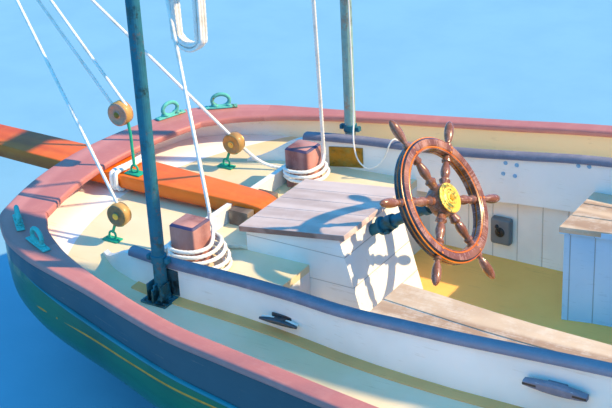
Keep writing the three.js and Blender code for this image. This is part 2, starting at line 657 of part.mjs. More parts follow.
// Turned spoke: radius, distance from the middle of the wheel
const spokeProfile = [
  [0, 30], [16, 30], [16, 70], [21, 80], [13, 92], [18, 122], [12, 160], [17, 172], [14, 196], [14, 240],
  [9, 250], [13, 268], [17, 300], [17, 325], [11, 348], [0, WHEEL_RADIUS],
];
const across = vec(0, -1, 0);
const alongWheel = shaftDir.clone().cross(across);
const spokes = spread(0, SPOKES - 1, SPOKES - 1).map((i) => {
  const angle = SPOKE_PHASE + (i * 2 * Math.PI) / SPOKES;
  const towards = across.clone().multiplyScalar(Math.cos(angle)).addScaledVector(alongWheel, Math.sin(angle));
  return turned(spokeProfile, WHEEL, WHEEL.clone().add(towards), 7);
});
const wheelBore = rod(onShaft(-40), onShaft(40), SHAFT + GAP, 20);
add('steering_wheel', join(rim, wheelHub, ...spokes).subtract(wheelBore), 'wheelWood');

// Benches with an overhanging top: distance from amidships, inboard edge
const BENCH_EDGE = 14;
function bench(inboard) {
  const edge = smooth(inboard);
  const [from] = inboard[0];
  const stations = [from, ...wellStations.filter((x) => x > from + 20)];
  const inner = (x) => coamingHalf(x) - BOARD / 2 - 2;
  const run = (xs, side, outer, low, top) => loft(xs.map((x) => [
    [x, side(x), low], [x, side(x), top(x)], [x, outer(x), top(x)], [x, outer(x), low],
  ]));
  return join(
    run(stations, edge, () => LINING - GAP, SOLE + GAP, (x) => deckTop(x) - COAMING_HANG - 2),
    run(stations, edge, inner, SOLE + GAP, () => BENCH_TOP - 20),
    run([from - BENCH_EDGE, ...stations.slice(1)], (x) => edge(x) - BENCH_EDGE, inner, BENCH_TOP - 24,
      () => BENCH_TOP),
  );
}
add('bench_port', bench([[-2446, 382], [-2200, 425], [-1170, 430]]), 'weathered');
add('bench_starboard', mirrored(bench([[-2762, 299], [-2200, 350], [-1170, 375]])), 'weathered');
add('control_panel', block([-2909, -2821], [LINING - 26, LINING - GAP], [362, 478]), 'panel');

// Bitts
const bittPort = loft([[500, BITT], [BITT_TOP - 14, BITT], [BITT_TOP, BITT - 12]].map(([z, half]) => [
  [BITT_X - half, BITT_Y - half, z], [BITT_X + half, BITT_Y - half, z],
  [BITT_X + half, BITT_Y + half, z], [BITT_X - half, BITT_Y + half, z],
])).subtract(belowDeck);
add('bitt_port', bittPort, 'bitt');
add('bitt_starboard', mirrored(bittPort), 'bitt');

// Rope made fast round each bitt: name, side, reach forward, reach to each side
const HANK_TOP = 724;
const HANK_AFT = 122;
const hanks = [['hank_port', 1, 112, 100], ['hank_starboard', -1, 172, 122]];
const bittGrown = block([BITT_X - BITT - GAP, BITT_X + BITT + GAP], [BITT_Y - BITT - GAP, BITT_Y + BITT + GAP],
  [500, 900]);
const acrossGrown = block([ACROSS_X[0] - GAP, ACROSS_X[1] + GAP], [-acrossHalf, acrossHalf], [500, 690 + GAP]);
for (const [name, side, fore, beside] of hanks) {
  const outline = spread(0, 23, 23).map((i) => {
    const angle = (i * Math.PI) / 12;
    const reach = Math.cos(angle) > 0 ? fore : HANK_AFT;
    return [BITT_X + reach * Math.cos(angle), BITT_Y + beside * Math.sin(angle)];
  });
  const ahead = block([ACROSS_X[0], BITT_X + fore], [0, 900], [500, 900]);
  const overBoard = block([BITT_X - HANK_AFT, ACROSS_X[0] + 1], [0, 900], [690 + GAP, 900]);
  const turns = standing(outline, 500, HANK_TOP).intersect(join(ahead, overBoard))
    .subtract(belowDeck).subtract(bittGrown).subtract(acrossGrown);
  add(name, side > 0 ? turns : mirrored(turns), 'rope');
}

// Gallows that the boom is lowered onto
const postPort = join(
  rod(vec(POST_X, POST_Y, 500), vec(POST_X, POST_Y, BEAM_LOW - GAP), POST, 20),
  block([POST_X - 55, POST_X + 55], [POST_Y - POST, POST_Y + 60], [500, deckTop(POST_X) + 9]),
  block([POST_X - 4, POST_X + 4], [POST_Y + 10, POST_Y + 56], [500, deckTop(POST_X) + 60]),
).subtract(belowDeck);
add('gallows_post_port', postPort, 'verdigris');
add('gallows_post_starboard', mirrored(postPort), 'verdigris');
const NOTCH = 80;
const notches = [-380, 0, 380].map((y) => rod(
  vec(POST_X - 50, y, BEAM_TOP + 35), vec(POST_X + 50, y, BEAM_TOP + 35), NOTCH, 20));
const beam = block([POST_X - 30, POST_X + 30], [-770, 770], [BEAM_LOW, BEAM_TOP]);
add('gallows_beam', notches.reduce((all, notch) => all.subtract(notch), beam), 'varnish');

// Thin line that hangs from the beam, dips inside the coaming and is made fast on its cap
const LINE = 3.5;
const capAt = (x) => vec(x, coamingHalf(x), coamingTop(x) + LINE + GAP);
const lineRoute = [
  [-3528, 650, BEAM_LOW - GAP], [-3525, 650, 1650], [-3521, 650, 1350], [-3517, 649, 1080], [-3513, 646, 910],
  [-3507, 632, 824], [-3496, 609, 792], [-3486, 594, 745], [-3474, 590, 700], [-3456, 588, 672],
  [-3430, 586, 657], [-3404, 586, 656], [-3374, 586, 672], [-3348, 587, 700], [-3326, 590, 745],
  [-3311, 596, 786], [-3300, 609, 799], [-3294, 624, 791],
].map(([x, y, z]) => vec(x, y, z)).concat(capAt(-3289));
const lineSection = new THREE.Shape(spread(0, 7, 7).map((i) => new THREE.Vector2(
  LINE * Math.cos((i * Math.PI) / 4), LINE * Math.sin((i * Math.PI) / 4))));
const linePath = new THREE.CatmullRomCurve3(lineRoute, false, 'centripetal');
const hungLine = new THREE.ExtrudeGeometry(lineSection, { steps: 72, extrudePath: linePath, bevelEnabled: false });
add('hung_line', solid(hungLine), 'rope');

// Blocks of the mainsheet
const sheetEnd = vec(-4975, 0, 1888);
const sheetBlockAt = vec(-3960, 389, 745);
const padeye = vec(-4009, 389, 0);
const sheetDir = sheetEnd.clone().sub(sheetBlockAt).normalize();
const towardsView = vec(0.75, 0.66, 0);
const blockAxis = towardsView.clone().addScaledVector(sheetDir, -towardsView.dot(sheetDir)).normalize();
const deckAt = deckTop(padeye.x);
const sheetBlock = join(
  rod(sheetBlockAt.clone().addScaledVector(blockAxis, -23), sheetBlockAt.clone().addScaledVector(blockAxis, 23),
    44, 20),
  rod(sheetBlockAt, vec(padeye.x, padeye.y, deckAt + 20), 10, 10),
  block([padeye.x - 40, padeye.x + 40], [padeye.y - 22, padeye.y + 22], [500, deckAt + 8]),
  rod(vec(padeye.x, padeye.y, 610), vec(padeye.x, padeye.y, deckAt + 26), 14, 12),
).subtract(belowDeck);
add('sheet_block_port', sheetBlock, 'verdigris');
add('sheet_block_starboard', mirrored(sheetBlock), 'verdigris');

const centreBlock = vec(-4236, 0, 976);
const shackle = vec(-4195, 0, 890);
const eyeFoot = vec(shackle.x, 0, boomkinTop(shackle.x) + 2 * GAP);
const midBlock = join(
  rod(centreBlock.clone().add(vec(0, -26, 0)), centreBlock.clone().add(vec(0, 26, 0)), 50, 20),
  rod(centreBlock, shackle, 12, 10),
  rod(shackle, eyeFoot, 12, 10),
  rod(eyeFoot, vec(eyeFoot.x, 0, eyeFoot.z + 8), 30, 12),
);
add('centre_block', midBlock, 'bronze');

// Fairleads on the cap rail: name, distance from amidships, half breadth, side
const fairleads = [
  ['fairlead_port_aft', -4386, 508, 1], ['fairlead_port_fore', -4237, 690, 1],
  ['fairlead_starboard_aft', -4253, 636, -1], ['fairlead_starboard_fore', -4061, 742, -1],
];
const chockRing = new THREE.TorusGeometry(32, 9, 6, 14).rotateX(Math.PI / 2).scale(1.2, 1, 0.9);
const fairlead = join(solid(chockRing), block([-75, 75], [-17, 17], [-36, -26]))
  .subtract(block([-100, 100], [-50, 50], [-80, -36]));
for (const [name, x, y, side] of fairleads) {
  const away = STATIONS.map(([a, b]) => Math.hypot(a - x, b - y));
  const plan = railPlan(Math.max(away.indexOf(Math.min(...away)), 1));
  const mesh = add(name, fairlead, 'verdigris');
  mesh.position.set(x, side * y, railTop(x) + 36 + GAP);
  mesh.rotation.z = side * -Math.atan2(plan.nx, plan.ny);
}

// Cabin
const roofEdge = (x) => 1030 + (x - BULKHEAD) * ROOF_SLOPE;
const camber = (y) => ROOF_CAMBER * (1 - (y / ROOF_HALF) ** 2);
const roofUnder = (x, y) => roofEdge(x) + camber(y);
function roofSlab(low, high, from, to) {
  return loft([from, to].map((x) => {
    const line = spread(-ROOF_HALF, ROOF_HALF, 14);
    const top = line.map((y) => [x, y, roofUnder(x, y) + high]);
    const under = line.map((y) => [x, y, roofUnder(x, y) + low]).reverse();
    return [...top, ...under];
  }));
}
const aboveRoof = roofSlab(-GAP, 700, -1400, 1400);
const porthole = (a, b, radius) => rod(a, b, radius, 24);
const cabinSide = loft(spread(BULKHEAD_FORE + GAP, CABIN_FRONT, 6).map((x) => [
  [x, trunkHalf(x) - WALL, 600], [x, trunkHalf(x) - WALL, 1300], [x, trunkHalf(x), 1300], [x, trunkHalf(x), 600],
]));
const frontHalf = trunkHalf(CABIN_FRONT) - 1;
const cabinFront = block([CABIN_FRONT - WALL, CABIN_FRONT], [-frontHalf, frontHalf], [600, 1400]);
const portholes = [
  ...[-600, 300].map((x) => porthole(vec(x, -900, 930), vec(x, 900, 930), 90)),
  ...[-300, 300].map((y) => porthole(vec(1000, y, 970), vec(1200, y, 970), 75)),
];
const trunk = portholes.reduce((all, hole) => all.subtract(hole),
  join(cabinSide, mirrored(cabinSide), cabinFront));
add('cabin_trunk', trunk.subtract(belowDeck).subtract(aboveRoof), 'white');

const doorPin = vec(BULKHEAD - 22, HATCH_HALF + 25, 0);
const BARREL = 20;
const barrelHeights = [DOOR_SILL + 60, 1050];
const deckUnder = deckTop(BULKHEAD) - DECK_THICK - 1;
const doorway = HATCH_HALF - 20;
const halfOutline = [
  [doorway, DOOR_SILL], [doorway, 1300], [LINING + 1, 1300], [LINING + 1, deckUnder],
  [LINING_BACK, deckUnder], [LINING_BACK, SOLE - SOLE_THICK],
];
const bulkheadOutline = [...halfOutline, ...halfOutline.map(([y, z]) => [-y, z]).reverse()];
const lugs = [-1, 1].flatMap((side) => barrelHeights.flatMap((z) => [-1, 1].map((end) => {
  const near = z + end * (BARREL + GAP);
  const far = near + end * 14;
  return block([doorPin.x - 5, BULKHEAD + 2], [side * doorPin.y - 6, side * doorPin.y + 6],
    [Math.min(near, far), Math.max(near, far)]);
})));
const bulkhead = endways(bulkheadOutline, BULKHEAD, BULKHEAD_FORE).subtract(aboveRoof);
add('cabin_bulkhead', join(bulkhead, ...lugs), 'white');

const door = join(
  block([doorPin.x - 10, doorPin.x + 9], [3, doorPin.y - 12], [DOOR_SILL + 8, 1096]),
  ...barrelHeights.map((z) => join(
    rod(vec(doorPin.x, doorPin.y, z - BARREL), vec(doorPin.x, doorPin.y, z + BARREL), 6, 12),
    block([doorPin.x - 3, doorPin.x + 3], [doorPin.y - 20, doorPin.y], [z - BARREL + 1, z + BARREL - 1]),
  )),
);
add('companion_door_port', door, 'varnish');
add('companion_door_starboard', mirrored(door), 'varnish');

const roofHalf = (x) => trunkHalf(x) + 25;
const ROOF_AFT = -1195;
const hatchHole = block([-1400, -640], [-HATCH_HALF, HATCH_HALF], [900, 1400]);
const hatchRail = loft([ROOF_AFT, 30].map((x) => {
  const [inner, outer] = [HATCH_HALF + 46, HATCH_HALF + 72];
  const z = roofUnder(x, inner) + ROOF_THICK;
  return [[x, inner, z - 20], [x, inner, z + 34], [x, outer, z + 34], [x, outer, z - 20]];
}));
const roofEnds = spread(ROOF_AFT, CABIN_FRONT + 25, 4);
const roofPlan = [...roofEnds.map((x) => [x, roofHalf(x)]), ...roofEnds.map((x) => [x, -roofHalf(x)]).reverse()];
const roof = roofSlab(0, ROOF_THICK, ROOF_AFT, CABIN_FRONT + 25).intersect(standing(roofPlan, 900, 1400));
add('cabin_roof', join(roof, hatchRail, mirrored(hatchRail)).subtract(hatchHole), 'cream');
const COVER = [-1230, -600];
const coverSlab = (low, high, y0, y1) => roofSlab(ROOF_THICK + low, ROOF_THICK + high, ...COVER)
  .intersect(block(COVER, [y0, y1], [900, 1400]));
const runner = coverSlab(GAP, 20, HATCH_HALF + 12, HATCH_HALF + 36);
const cover = coverSlab(CLEAR, 36, -HATCH_HALF - 40, HATCH_HALF + 40);
const overRoof = block([ROOF_AFT - 1, COVER[1]], [-HATCH_HALF - 60, HATCH_HALF + 60], [900, 1400]);
const runners = join(runner, mirrored(runner)).intersect(overRoof);
add('companion_hatch', join(cover, runners), 'varnish');

// Fore hatch: a coaming on the deck and a hinged lid
const [hatchAft, hatchFore] = [FORE_HATCH[0] - 28, FORE_HATCH[1] + 28];
const hatchSide = FORE_HATCH_HALF + 28;
const foreCoaming = block([hatchAft, hatchFore], [-hatchSide, hatchSide], [700, FORE_HATCH_TOP])
  .subtract(foreHatchHole).subtract(belowDeck);
add('fore_hatch_coaming', foreCoaming, 'varnish');
const forePin = vec(hatchFore + 14, 0, FORE_HATCH_TOP + 18);
const foreHinges = [-150, 150].map((y) => join(
  rod(vec(forePin.x, y - 30, forePin.z), vec(forePin.x, y + 30, forePin.z), 9, 12),
  block([forePin.x - 16, forePin.x], [y - 30, y + 30], [forePin.z - 5, forePin.z + 5]),
));
const foreLid = block([hatchAft - 12, hatchFore + 2], [-hatchSide - 12, hatchSide + 12],
  [FORE_HATCH_TOP + GAP, FORE_HATCH_TOP + 34]);
add('fore_hatch_lid', join(foreLid, ...foreHinges), 'varnish');

// Mast with its spreaders, boom and stowed sail
const mastProfile = [[0, 0], [MAST, 0], [MAST, 3000], [78, 7500], [55, MASTHEAD + 330], [0, MASTHEAD + 330]];
const mastFoot = vec(MAST_X, 0, CABIN_FLOOR + GAP);
const upwards = vec(MAST_X, 0, MASTHEAD);
const gooseneck = [-40 - GAP - 18, 40 + GAP].map((low) => block([GOOSENECK - 22, MAST_X - 40], [-20, 20],
  [BOOM_Z + low, BOOM_Z + low + 18]));
const spreaders = rod(vec(MAST_X, -SPREADER, SPREADER_Z), vec(MAST_X, SPREADER, SPREADER_Z), 18, 10);
add('mast', join(turned(mastProfile, mastFoot, upwards, 24), spreaders, ...gooseneck), 'spar');
const mastGrown = join(
  turned(mastProfile.map(([r, h]) => [r > 0 ? r + GAP : 0, h]), mastFoot, upwards, 24),
  rod(vec(MAST_X, -SPREADER - GAP, SPREADER_Z), vec(MAST_X, SPREADER + GAP, SPREADER_Z), 18 + GAP, 10),
);

const BOOM_LENGTH = GOOSENECK - 50 - BOOM_AFT;
const boomProfile = [[0, 0], [45, 0], [65, 1500], [65, 4200], [48, BOOM_LENGTH], [0, BOOM_LENGTH]];
const boomTurned = (margin) => turned(boomProfile.map(([r, h]) => [r > 0 ? r + margin : 0, h]),
  vec(GOOSENECK - 50, 0, BOOM_Z), vec(BOOM_AFT, 0, BOOM_Z), 20);
const boomBody = join(
  boomTurned(0),
  rod(vec(GOOSENECK, 0, BOOM_Z - 40), vec(GOOSENECK, 0, BOOM_Z + 40), 14, 16),
  block([GOOSENECK - 60, GOOSENECK], [-9, 9], [BOOM_Z - 30, BOOM_Z + 30]),
  rod(vec(sheetEnd.x, -24, sheetEnd.z), vec(sheetEnd.x, 24, sheetEnd.z), 42, 20),
  rod(sheetEnd, vec(sheetEnd.x, 0, BOOM_Z - 30), 10, 10),
);
add('boom', boomBody, 'spar');
// Coil of the mainsheet's tail, hung under the boom
const COIL_X = [-3905, -3745];
const COIL_FOOT = 1315;
const coilRound = (COIL_X[1] - COIL_X[0]) / 2;
const coilMid = (COIL_X[0] + COIL_X[1]) / 2;
const coilOutline = spread(0, 12, 12).map((i) => {
  const angle = Math.PI + (i * Math.PI) / 12;
  return [coilMid + coilRound * Math.cos(angle), COIL_FOOT + coilRound * (1 + Math.sin(angle))];
});
const coil = sideways([...coilOutline, [COIL_X[1], BOOM_Z - 40], [COIL_X[0], BOOM_Z - 40]], -70, 10);
add('sheet_coil', coil.subtract(boomTurned(GAP)), 'rope');

// Stowed sail: distance from amidships, half width, height
const stowed = [
  [-4750, 40, 60], [-4300, 85, 120], [-3000, 110, 160], [-1000, 130, 200], [500, 140, 250], [1040, 100, 300],
];
const SAIL_SIDES = 12;
const SAIL_FOOT = BOOM_Z + 65 + GAP;
const sail = loft(stowed.map(([x, half, height]) => spread(0, SAIL_SIDES - 1, SAIL_SIDES - 1).map((i) => {
  const angle = ((i + 0.5) * 2 * Math.PI) / SAIL_SIDES;
  const lift = Math.cos(Math.PI / SAIL_SIDES) - Math.cos(angle);
  return [x, half * Math.sin(angle), SAIL_FOOT + (height / 2) * lift];
})));
add('stowed_sail', sail, 'canvas');

// Bowsprit, its post and the stem's head
const bowspritZ = (x) => 1345 + (x - 4500) * 0.165;
const bowspritAt = (x) => vec(x, 0, bowspritZ(x));
const bowspritRod = (margin) => rod(bowspritAt(BOWSPRIT_HEEL), bowspritAt(BOWSPRIT_TIP), 58 + margin, 16,
  40 + margin);
const bowspritGrown = bowspritRod(GAP);
add('bowsprit', bowspritRod(0).subtract(belowDeck), 'spar');
const samson = join(
  block([BOWSPRIT_HEEL - 110, BOWSPRIT_HEEL - 8], [-55, 55], [900, 1300]),
  block([BOWSPRIT_HEEL - 104, BOWSPRIT_HEEL - 14], [-130, 130], [1200, 1230]),
).subtract(belowDeck).subtract(bowspritGrown);
add('samson_post', samson, 'bitt');
const stemHead = block([4300, 4560], [-60, 60], [900, 1330])
  .subtract(hullGrown).subtract(deckGrown).subtract(bulwarkGrown).subtract(bowspritGrown);
const largest = (body) => body.decompose().sort((a, b) => b.volume() - a.volume())[0];
add('stem_head', largest(stemHead), 'topsides');

// Stays: each ends in a ring round its spar
const headAt = vec(MAST_X, 0, 10700);
const foreRing = bowspritAt(BOWSPRIT_TIP - 60);
const foreRingBody = rod(bowspritAt(BOWSPRIT_TIP - 90), bowspritAt(BOWSPRIT_TIP - 30), 52, 20);
const forestay = join(foreRingBody, rod(foreRing, headAt, 6, 8), rod(vec(4200, 0, 180), foreRing, 7, 8));
add('forestay', largest(forestay.subtract(bowspritGrown).subtract(mastGrown).subtract(hullGrown)), 'wire');
const ringX = BOOMKIN_TIP + 45;
const ringHalf = boomkinHalf(ringX) + 12;
const ringZ = [boomkinTop(ringX) - BOOMKIN_THICK - 12, boomkinTop(ringX) + 12];
const aftRing = block([ringX - 25, ringX + 25], [BOOMKIN_Y - ringHalf, BOOMKIN_Y + ringHalf], ringZ);
const ringMid = vec(ringX, BOOMKIN_Y, (ringZ[0] + ringZ[1]) / 2);
const backstay = join(aftRing, rod(ringMid, vec(MAST_X, 0, 10650), 6, 8), rod(vec(-4200, 0, 400), ringMid, 7, 8));
add('backstay', largest(backstay.subtract(boomkinGrown).subtract(mastGrown).subtract(hullGrown)), 'wire');

// Shrouds: a cap shroud over the spreader and a lower shroud aft of it, with a strap along the side
const chainX = [930, 1380];
const outside = (x) => railHalf(x) + CAP_OVERHANG + 6;
const chainPlates = chainX.map((x) => block([x - 20, x + 20], [railHalf(x) - 30, outside(x) + 6],
  [railTop(x) - 260, railTop(x) + 60]));
const strapZ = railTop(chainX[0]) - 220;
const strap = block([chainX[0], chainX[1]], [railHalf(chainX[1]) - 30, outside(chainX[0])], [strapZ, strapZ + 40]);
const feet = chainX.map((x) => vec(x, outside(x), railTop(x) + 40));
const tip = vec(MAST_X, SPREADER + 8, SPREADER_Z);
const shrouds = join(...chainPlates, strap, rod(feet[0], vec(MAST_X, 0, SPREADER_Z - 60), 5, 8),
  rod(feet[1], tip, 5, 8), rod(tip, headAt, 5, 8));
const besideHull = (body) => largest(body.subtract(hullGrown).subtract(deckGrown).subtract(bulwarkGrown)
  .subtract(capGrown).subtract(mirrored(capGrown)).subtract(mastGrown));
add('shrouds_port', besideHull(shrouds), 'wire');
add('shrouds_starboard', besideHull(mirrored(shrouds)), 'wire');

export default boat;
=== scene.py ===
"""A wooden sailing yacht with a counter stern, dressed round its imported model.

Everything is in metres: X to the bow, Y to port, Z up, with the water at zero.
"""
import logging
from collections.abc import Callable, Sequence
from dataclasses import dataclass
from enum import Enum
from math import atan2, copysign, cos, exp, floor, hypot, pi, radians, sin, sqrt

import bmesh
import bpy
import numpy as np
from mathutils import Matrix, Vector


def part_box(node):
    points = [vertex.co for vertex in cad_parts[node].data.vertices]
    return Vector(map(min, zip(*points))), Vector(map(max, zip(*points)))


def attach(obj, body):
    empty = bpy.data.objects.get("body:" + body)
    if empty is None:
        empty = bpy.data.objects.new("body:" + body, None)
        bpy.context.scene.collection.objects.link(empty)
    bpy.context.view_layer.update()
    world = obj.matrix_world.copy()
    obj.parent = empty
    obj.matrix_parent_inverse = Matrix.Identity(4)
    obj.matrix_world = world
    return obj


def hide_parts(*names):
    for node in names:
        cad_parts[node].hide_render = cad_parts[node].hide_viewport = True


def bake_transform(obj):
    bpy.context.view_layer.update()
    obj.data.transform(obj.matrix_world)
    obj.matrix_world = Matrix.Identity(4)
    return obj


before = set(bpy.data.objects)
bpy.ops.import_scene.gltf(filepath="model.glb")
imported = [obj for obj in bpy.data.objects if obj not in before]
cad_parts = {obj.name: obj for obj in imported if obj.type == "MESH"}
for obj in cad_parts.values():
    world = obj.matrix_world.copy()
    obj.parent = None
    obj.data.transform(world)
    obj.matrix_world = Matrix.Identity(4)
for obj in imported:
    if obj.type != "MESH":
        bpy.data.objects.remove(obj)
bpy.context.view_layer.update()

LOG = logging.getLogger("yacht")

Point = Sequence[float]
Colour = tuple[float, float, float]
Curve = Callable[[float], float]

UP = (0, 0, 1)
STRANDS = 3
STRAND_LAY = 7.0
STRAND_VALLEY = 0.2
ROPE_SIDES = 12
ROPE_STEP = 0.62
MERGED = 1e-5
STEP_BLUR = 0.004
DRESS_SHARP = 30.0


def rgb(digits: str, share: float = 1.0) -> Colour:
    """Linear colour of six hexadecimal digits, dimmed to a share."""
    parts = [int(digits[i:i + 2], 16) / 255 for i in (0, 2, 4)]
    return tuple(share * (c / 12.92 if c <= 0.04045 else ((c + 0.055) / 1.055) ** 2.4) for c in parts)


class Wire:
    """A shader socket that takes part in Python arithmetic."""

    def __init__(self, shade: "Shade", socket: bpy.types.NodeSocket) -> None:
        """Keeps the socket and the shader that it belongs to."""
        self.shade = shade
        self.socket = socket

    def math(self, operation: str, *values: "Wire | float") -> "Wire":
        """Math node with this value first."""
        return self.shade.node("ShaderNodeMath", {"operation": operation}, dict(enumerate([self, *values])))

    def __add__(self, other: "Wire | float") -> "Wire":
        """Sum."""
        return self.math("ADD", other)

    def __sub__(self, other: "Wire | float") -> "Wire":
        """Difference."""
        return self.math("SUBTRACT", other)

    def __rsub__(self, other: float) -> "Wire":
        """Number less this value."""
        return self.math("MULTIPLY", -1.0) + other

    def __mul__(self, other: "Wire | float") -> "Wire":
        """Product."""
        return self.math("MULTIPLY", other)

    def __truediv__(self, other: "Wire | float") -> "Wire":
        """Quotient."""
        return self.math("DIVIDE", other)

    def __abs__(self) -> "Wire":
        """Size without the sign."""
        return self.math("ABSOLUTE")

    def fade(self, low: float, high: float) -> "Wire":
        """Smooth step from 0 at low to 1 at high."""
        names = {"Value": self, "From Min": low, "From Max": high}
        return self.shade.node("ShaderNodeMapRange", {"interpolation_type": "SMOOTHSTEP"}, names)

    def past(self, level: float) -> "Wire":
        """Sharp step from 0 to 1 at a level."""
        return self.fade(level - STEP_BLUR, level + STEP_BLUR)

    def lines(self, pitch: float, width: float) -> "Wire":
        """Mask of thin lines, one every pitch."""
        away = abs((self / pitch + 0.5).math("FRACT") - 0.5) * pitch
        return 1 - away.fade(width * 0.3, width * 0.7)


class Shade:
    """The node tree of one material."""

    def __init__(self, name: str) -> None:
        """Starts a material with a principled shader."""
        self.material = bpy.data.materials.new(name)
        self.material.use_nodes = True
        self.tree = self.material.node_tree
        self.surface = self.tree.nodes["Principled BSDF"]

    def node(self, kind: str, settings: dict | None = None, inputs: dict | None = None,
             output: int = 0) -> Wire:
        """Adds a node.

        Args:
            kind: the node's type.
            settings: what is set first.
            inputs: values or wires by socket name or number.
            output: number of the output that is returned.

        Returns:
            A wire from that output.
        """
        made = self.tree.nodes.new(kind)
        for name, value in (settings or {}).items():
            setattr(made, name, value)
        for name, value in (inputs or {}).items():
            self.feed(made.inputs[name], value)
        return Wire(self, made.outputs[output])

    def feed(self, socket: bpy.types.NodeSocket, value: "Wire | float | str | Colour") -> None:
        """Links a wire to a socket, or sets the socket's own value."""
        if isinstance(value, Wire):
            self.tree.links.new(value.socket, socket)
            return
        value = rgb(value) if isinstance(value, str) else value
        if isinstance(value, tuple) and len(socket.default_value) == 4:
            value = (*value, 1.0)
        socket.default_value = value

    def place(self) -> Wire:
        """Place on the object at rest."""
        return self.node("ShaderNodeTexCoord", output=3)

    def along(self) -> Wire:
        """Place along and across a swept surface, in metres."""
        return self.node("ShaderNodeTexCoord", output=2)

    def axes(self, vector: Wire) -> tuple[Wire, Wire, Wire]:
        """The three numbers of a vector."""
        first = self.node("ShaderNodeSeparateXYZ", inputs={0: vector})
        outputs = first.socket.node.outputs
        return first, Wire(self, outputs[1]), Wire(self, outputs[2])

    def stretched(self, vector: Wire, scale: Colour) -> Wire:
        """A vector scaled along its axes."""
        return self.node("ShaderNodeMapping", inputs={"Vector": vector, "Scale": scale})

    def noise(self, vector: Wire, scale: float, detail: float = 3.0, rough: float = 0.55) -> Wire:
        """Noise from 0 to 1."""
        names = {"Vector": vector, "Scale": scale, "Detail": detail, "Roughness": rough}
        return self.node("ShaderNodeTexNoise", inputs=names)

    def cloud(self, scale: float, detail: float = 3.0, rough: float = 0.55) -> Wire:
        """Noise from 0 to 1 over the object at rest."""
        return self.noise(self.place(), scale, detail, rough)

    def mix(self, share: Wire | float, first: Wire | str, second: Wire | str | Colour) -> Wire:
        """Mix of two colours."""
        settings = {"data_type": "RGBA", "clamp_factor": True}
        return self.node("ShaderNodeMix", settings, {0: share, 6: first, 7: second}, 2)

    def bump(self, height: Wire, distance: float) -> Wire:
        """Normal from a height."""
        return self.node("ShaderNodeBump", inputs={"Height": height, "Distance": distance})

    def finish(self, **sockets: "Wire | float | str") -> bpy.types.Material:
        """Feeds the principled shader and gives the material."""
        for name, value in sockets.items():
            self.feed(self.surface.inputs[name.replace("_", " ").title()], value)
        return self.material


class Grain(Enum):
    """Which way wood fibres run."""

    X = (0.035, 1.0, 1.0)
    Y = (1.0, 0.035, 1.0)
    Z = (1.0, 1.0, 0.035)
    SWEPT = (0.03, 1.0, 1.0)


@dataclass(frozen=True)
class Seam:
    """Joints between planks: axis number, distance between them, width, depth and shift along the axis."""

    axis: int
    pitch: float
    width: float = 0.003
    depth: float = 0.0015
    shift: float = 0.0


MADE: dict[str, bpy.types.Material] = {}


@dataclass(frozen=True)
class Finish:
    """A finish that is made once and used on many pieces."""

    name: str
    slot: str

    def material(self) -> bpy.types.Material:
        """The finish's material."""
        if self.name not in MADE:
            MADE[self.name] = self.make(Shade(self.name))
        return MADE[self.name]

    def make(self, shade: Shade) -> bpy.types.Material:
        """Builds the nodes."""
        raise NotImplementedError


@dataclass(frozen=True)
class Paint(Finish):
    """Brushed paint on wood, with stains, worn edges, the seams of the planks below and, where given,
    painted warm bounce light.
    """

    colour: str
    stain: str
    shade_of: str
    stains: float
    rough: float
    coat: float = 0.0
    grain: Grain = Grain.X
    seam: Seam | None = None
    bump: float = 0.0006
    below: tuple[float, str] | None = None
    # painted_bounce_light: start and end along X and the tint of a painted warm bounce light.
    painted_bounce_light: tuple[float, float, str] | None = None
    aft: tuple[float, float, str] | None = None

    def make(self, shade: Shade) -> bpy.types.Material:
        """Builds the nodes."""
        place = shade.along() if self.grain is Grain.SWEPT else shade.place()
        fibres = shade.noise(shade.stretched(place, self.grain.value), 110.0, 4.0)
        cloud = shade.cloud(2.3, 4.0)
        spots = shade.cloud(11.0, 5.0, 0.7)
        colour = shade.mix(cloud.fade(0.35, 0.7), self.colour, self.shade_of)
        # Painted light: a warm tint that grows towards the bow, standing in for light bounced off the sunlit
        # deck.
        if self.painted_bounce_light:
            start, end, tint = self.painted_bounce_light
            colour = shade.mix(shade.axes(shade.place())[0].fade(start, end), colour, tint)
        if self.aft:
            end, bend, tint = self.aft
            x, y, _ = shade.axes(shade.place())
            colour = shade.mix(1 - (x - y * y * bend).past(end), colour, tint)
        worn = (spots * fibres.fade(0.3, 0.7)).fade(0.44, 0.62) * self.stains
        colour = shade.mix(worn, colour, self.stain)
        height = fibres * 0.5 + spots * 0.5
        if self.seam:
            seam = self.seam
            line = (shade.axes(place)[seam.axis] + seam.shift).lines(seam.pitch, seam.width)
            colour = shade.mix(line * 0.6, colour, rgb(self.colour, 0.35))
            height = height - line * (seam.depth / self.bump)
        if self.below:
            level, under = self.below
            colour = shade.mix(1 - shade.axes(shade.place())[2].past(level), colour, under)
        rough = fibres * 0.14 + spots * 0.16 + (self.rough - 0.12)
        return shade.finish(base_color=colour, roughness=rough, normal=shade.bump(height, self.bump),
                            coat_weight=self.coat)


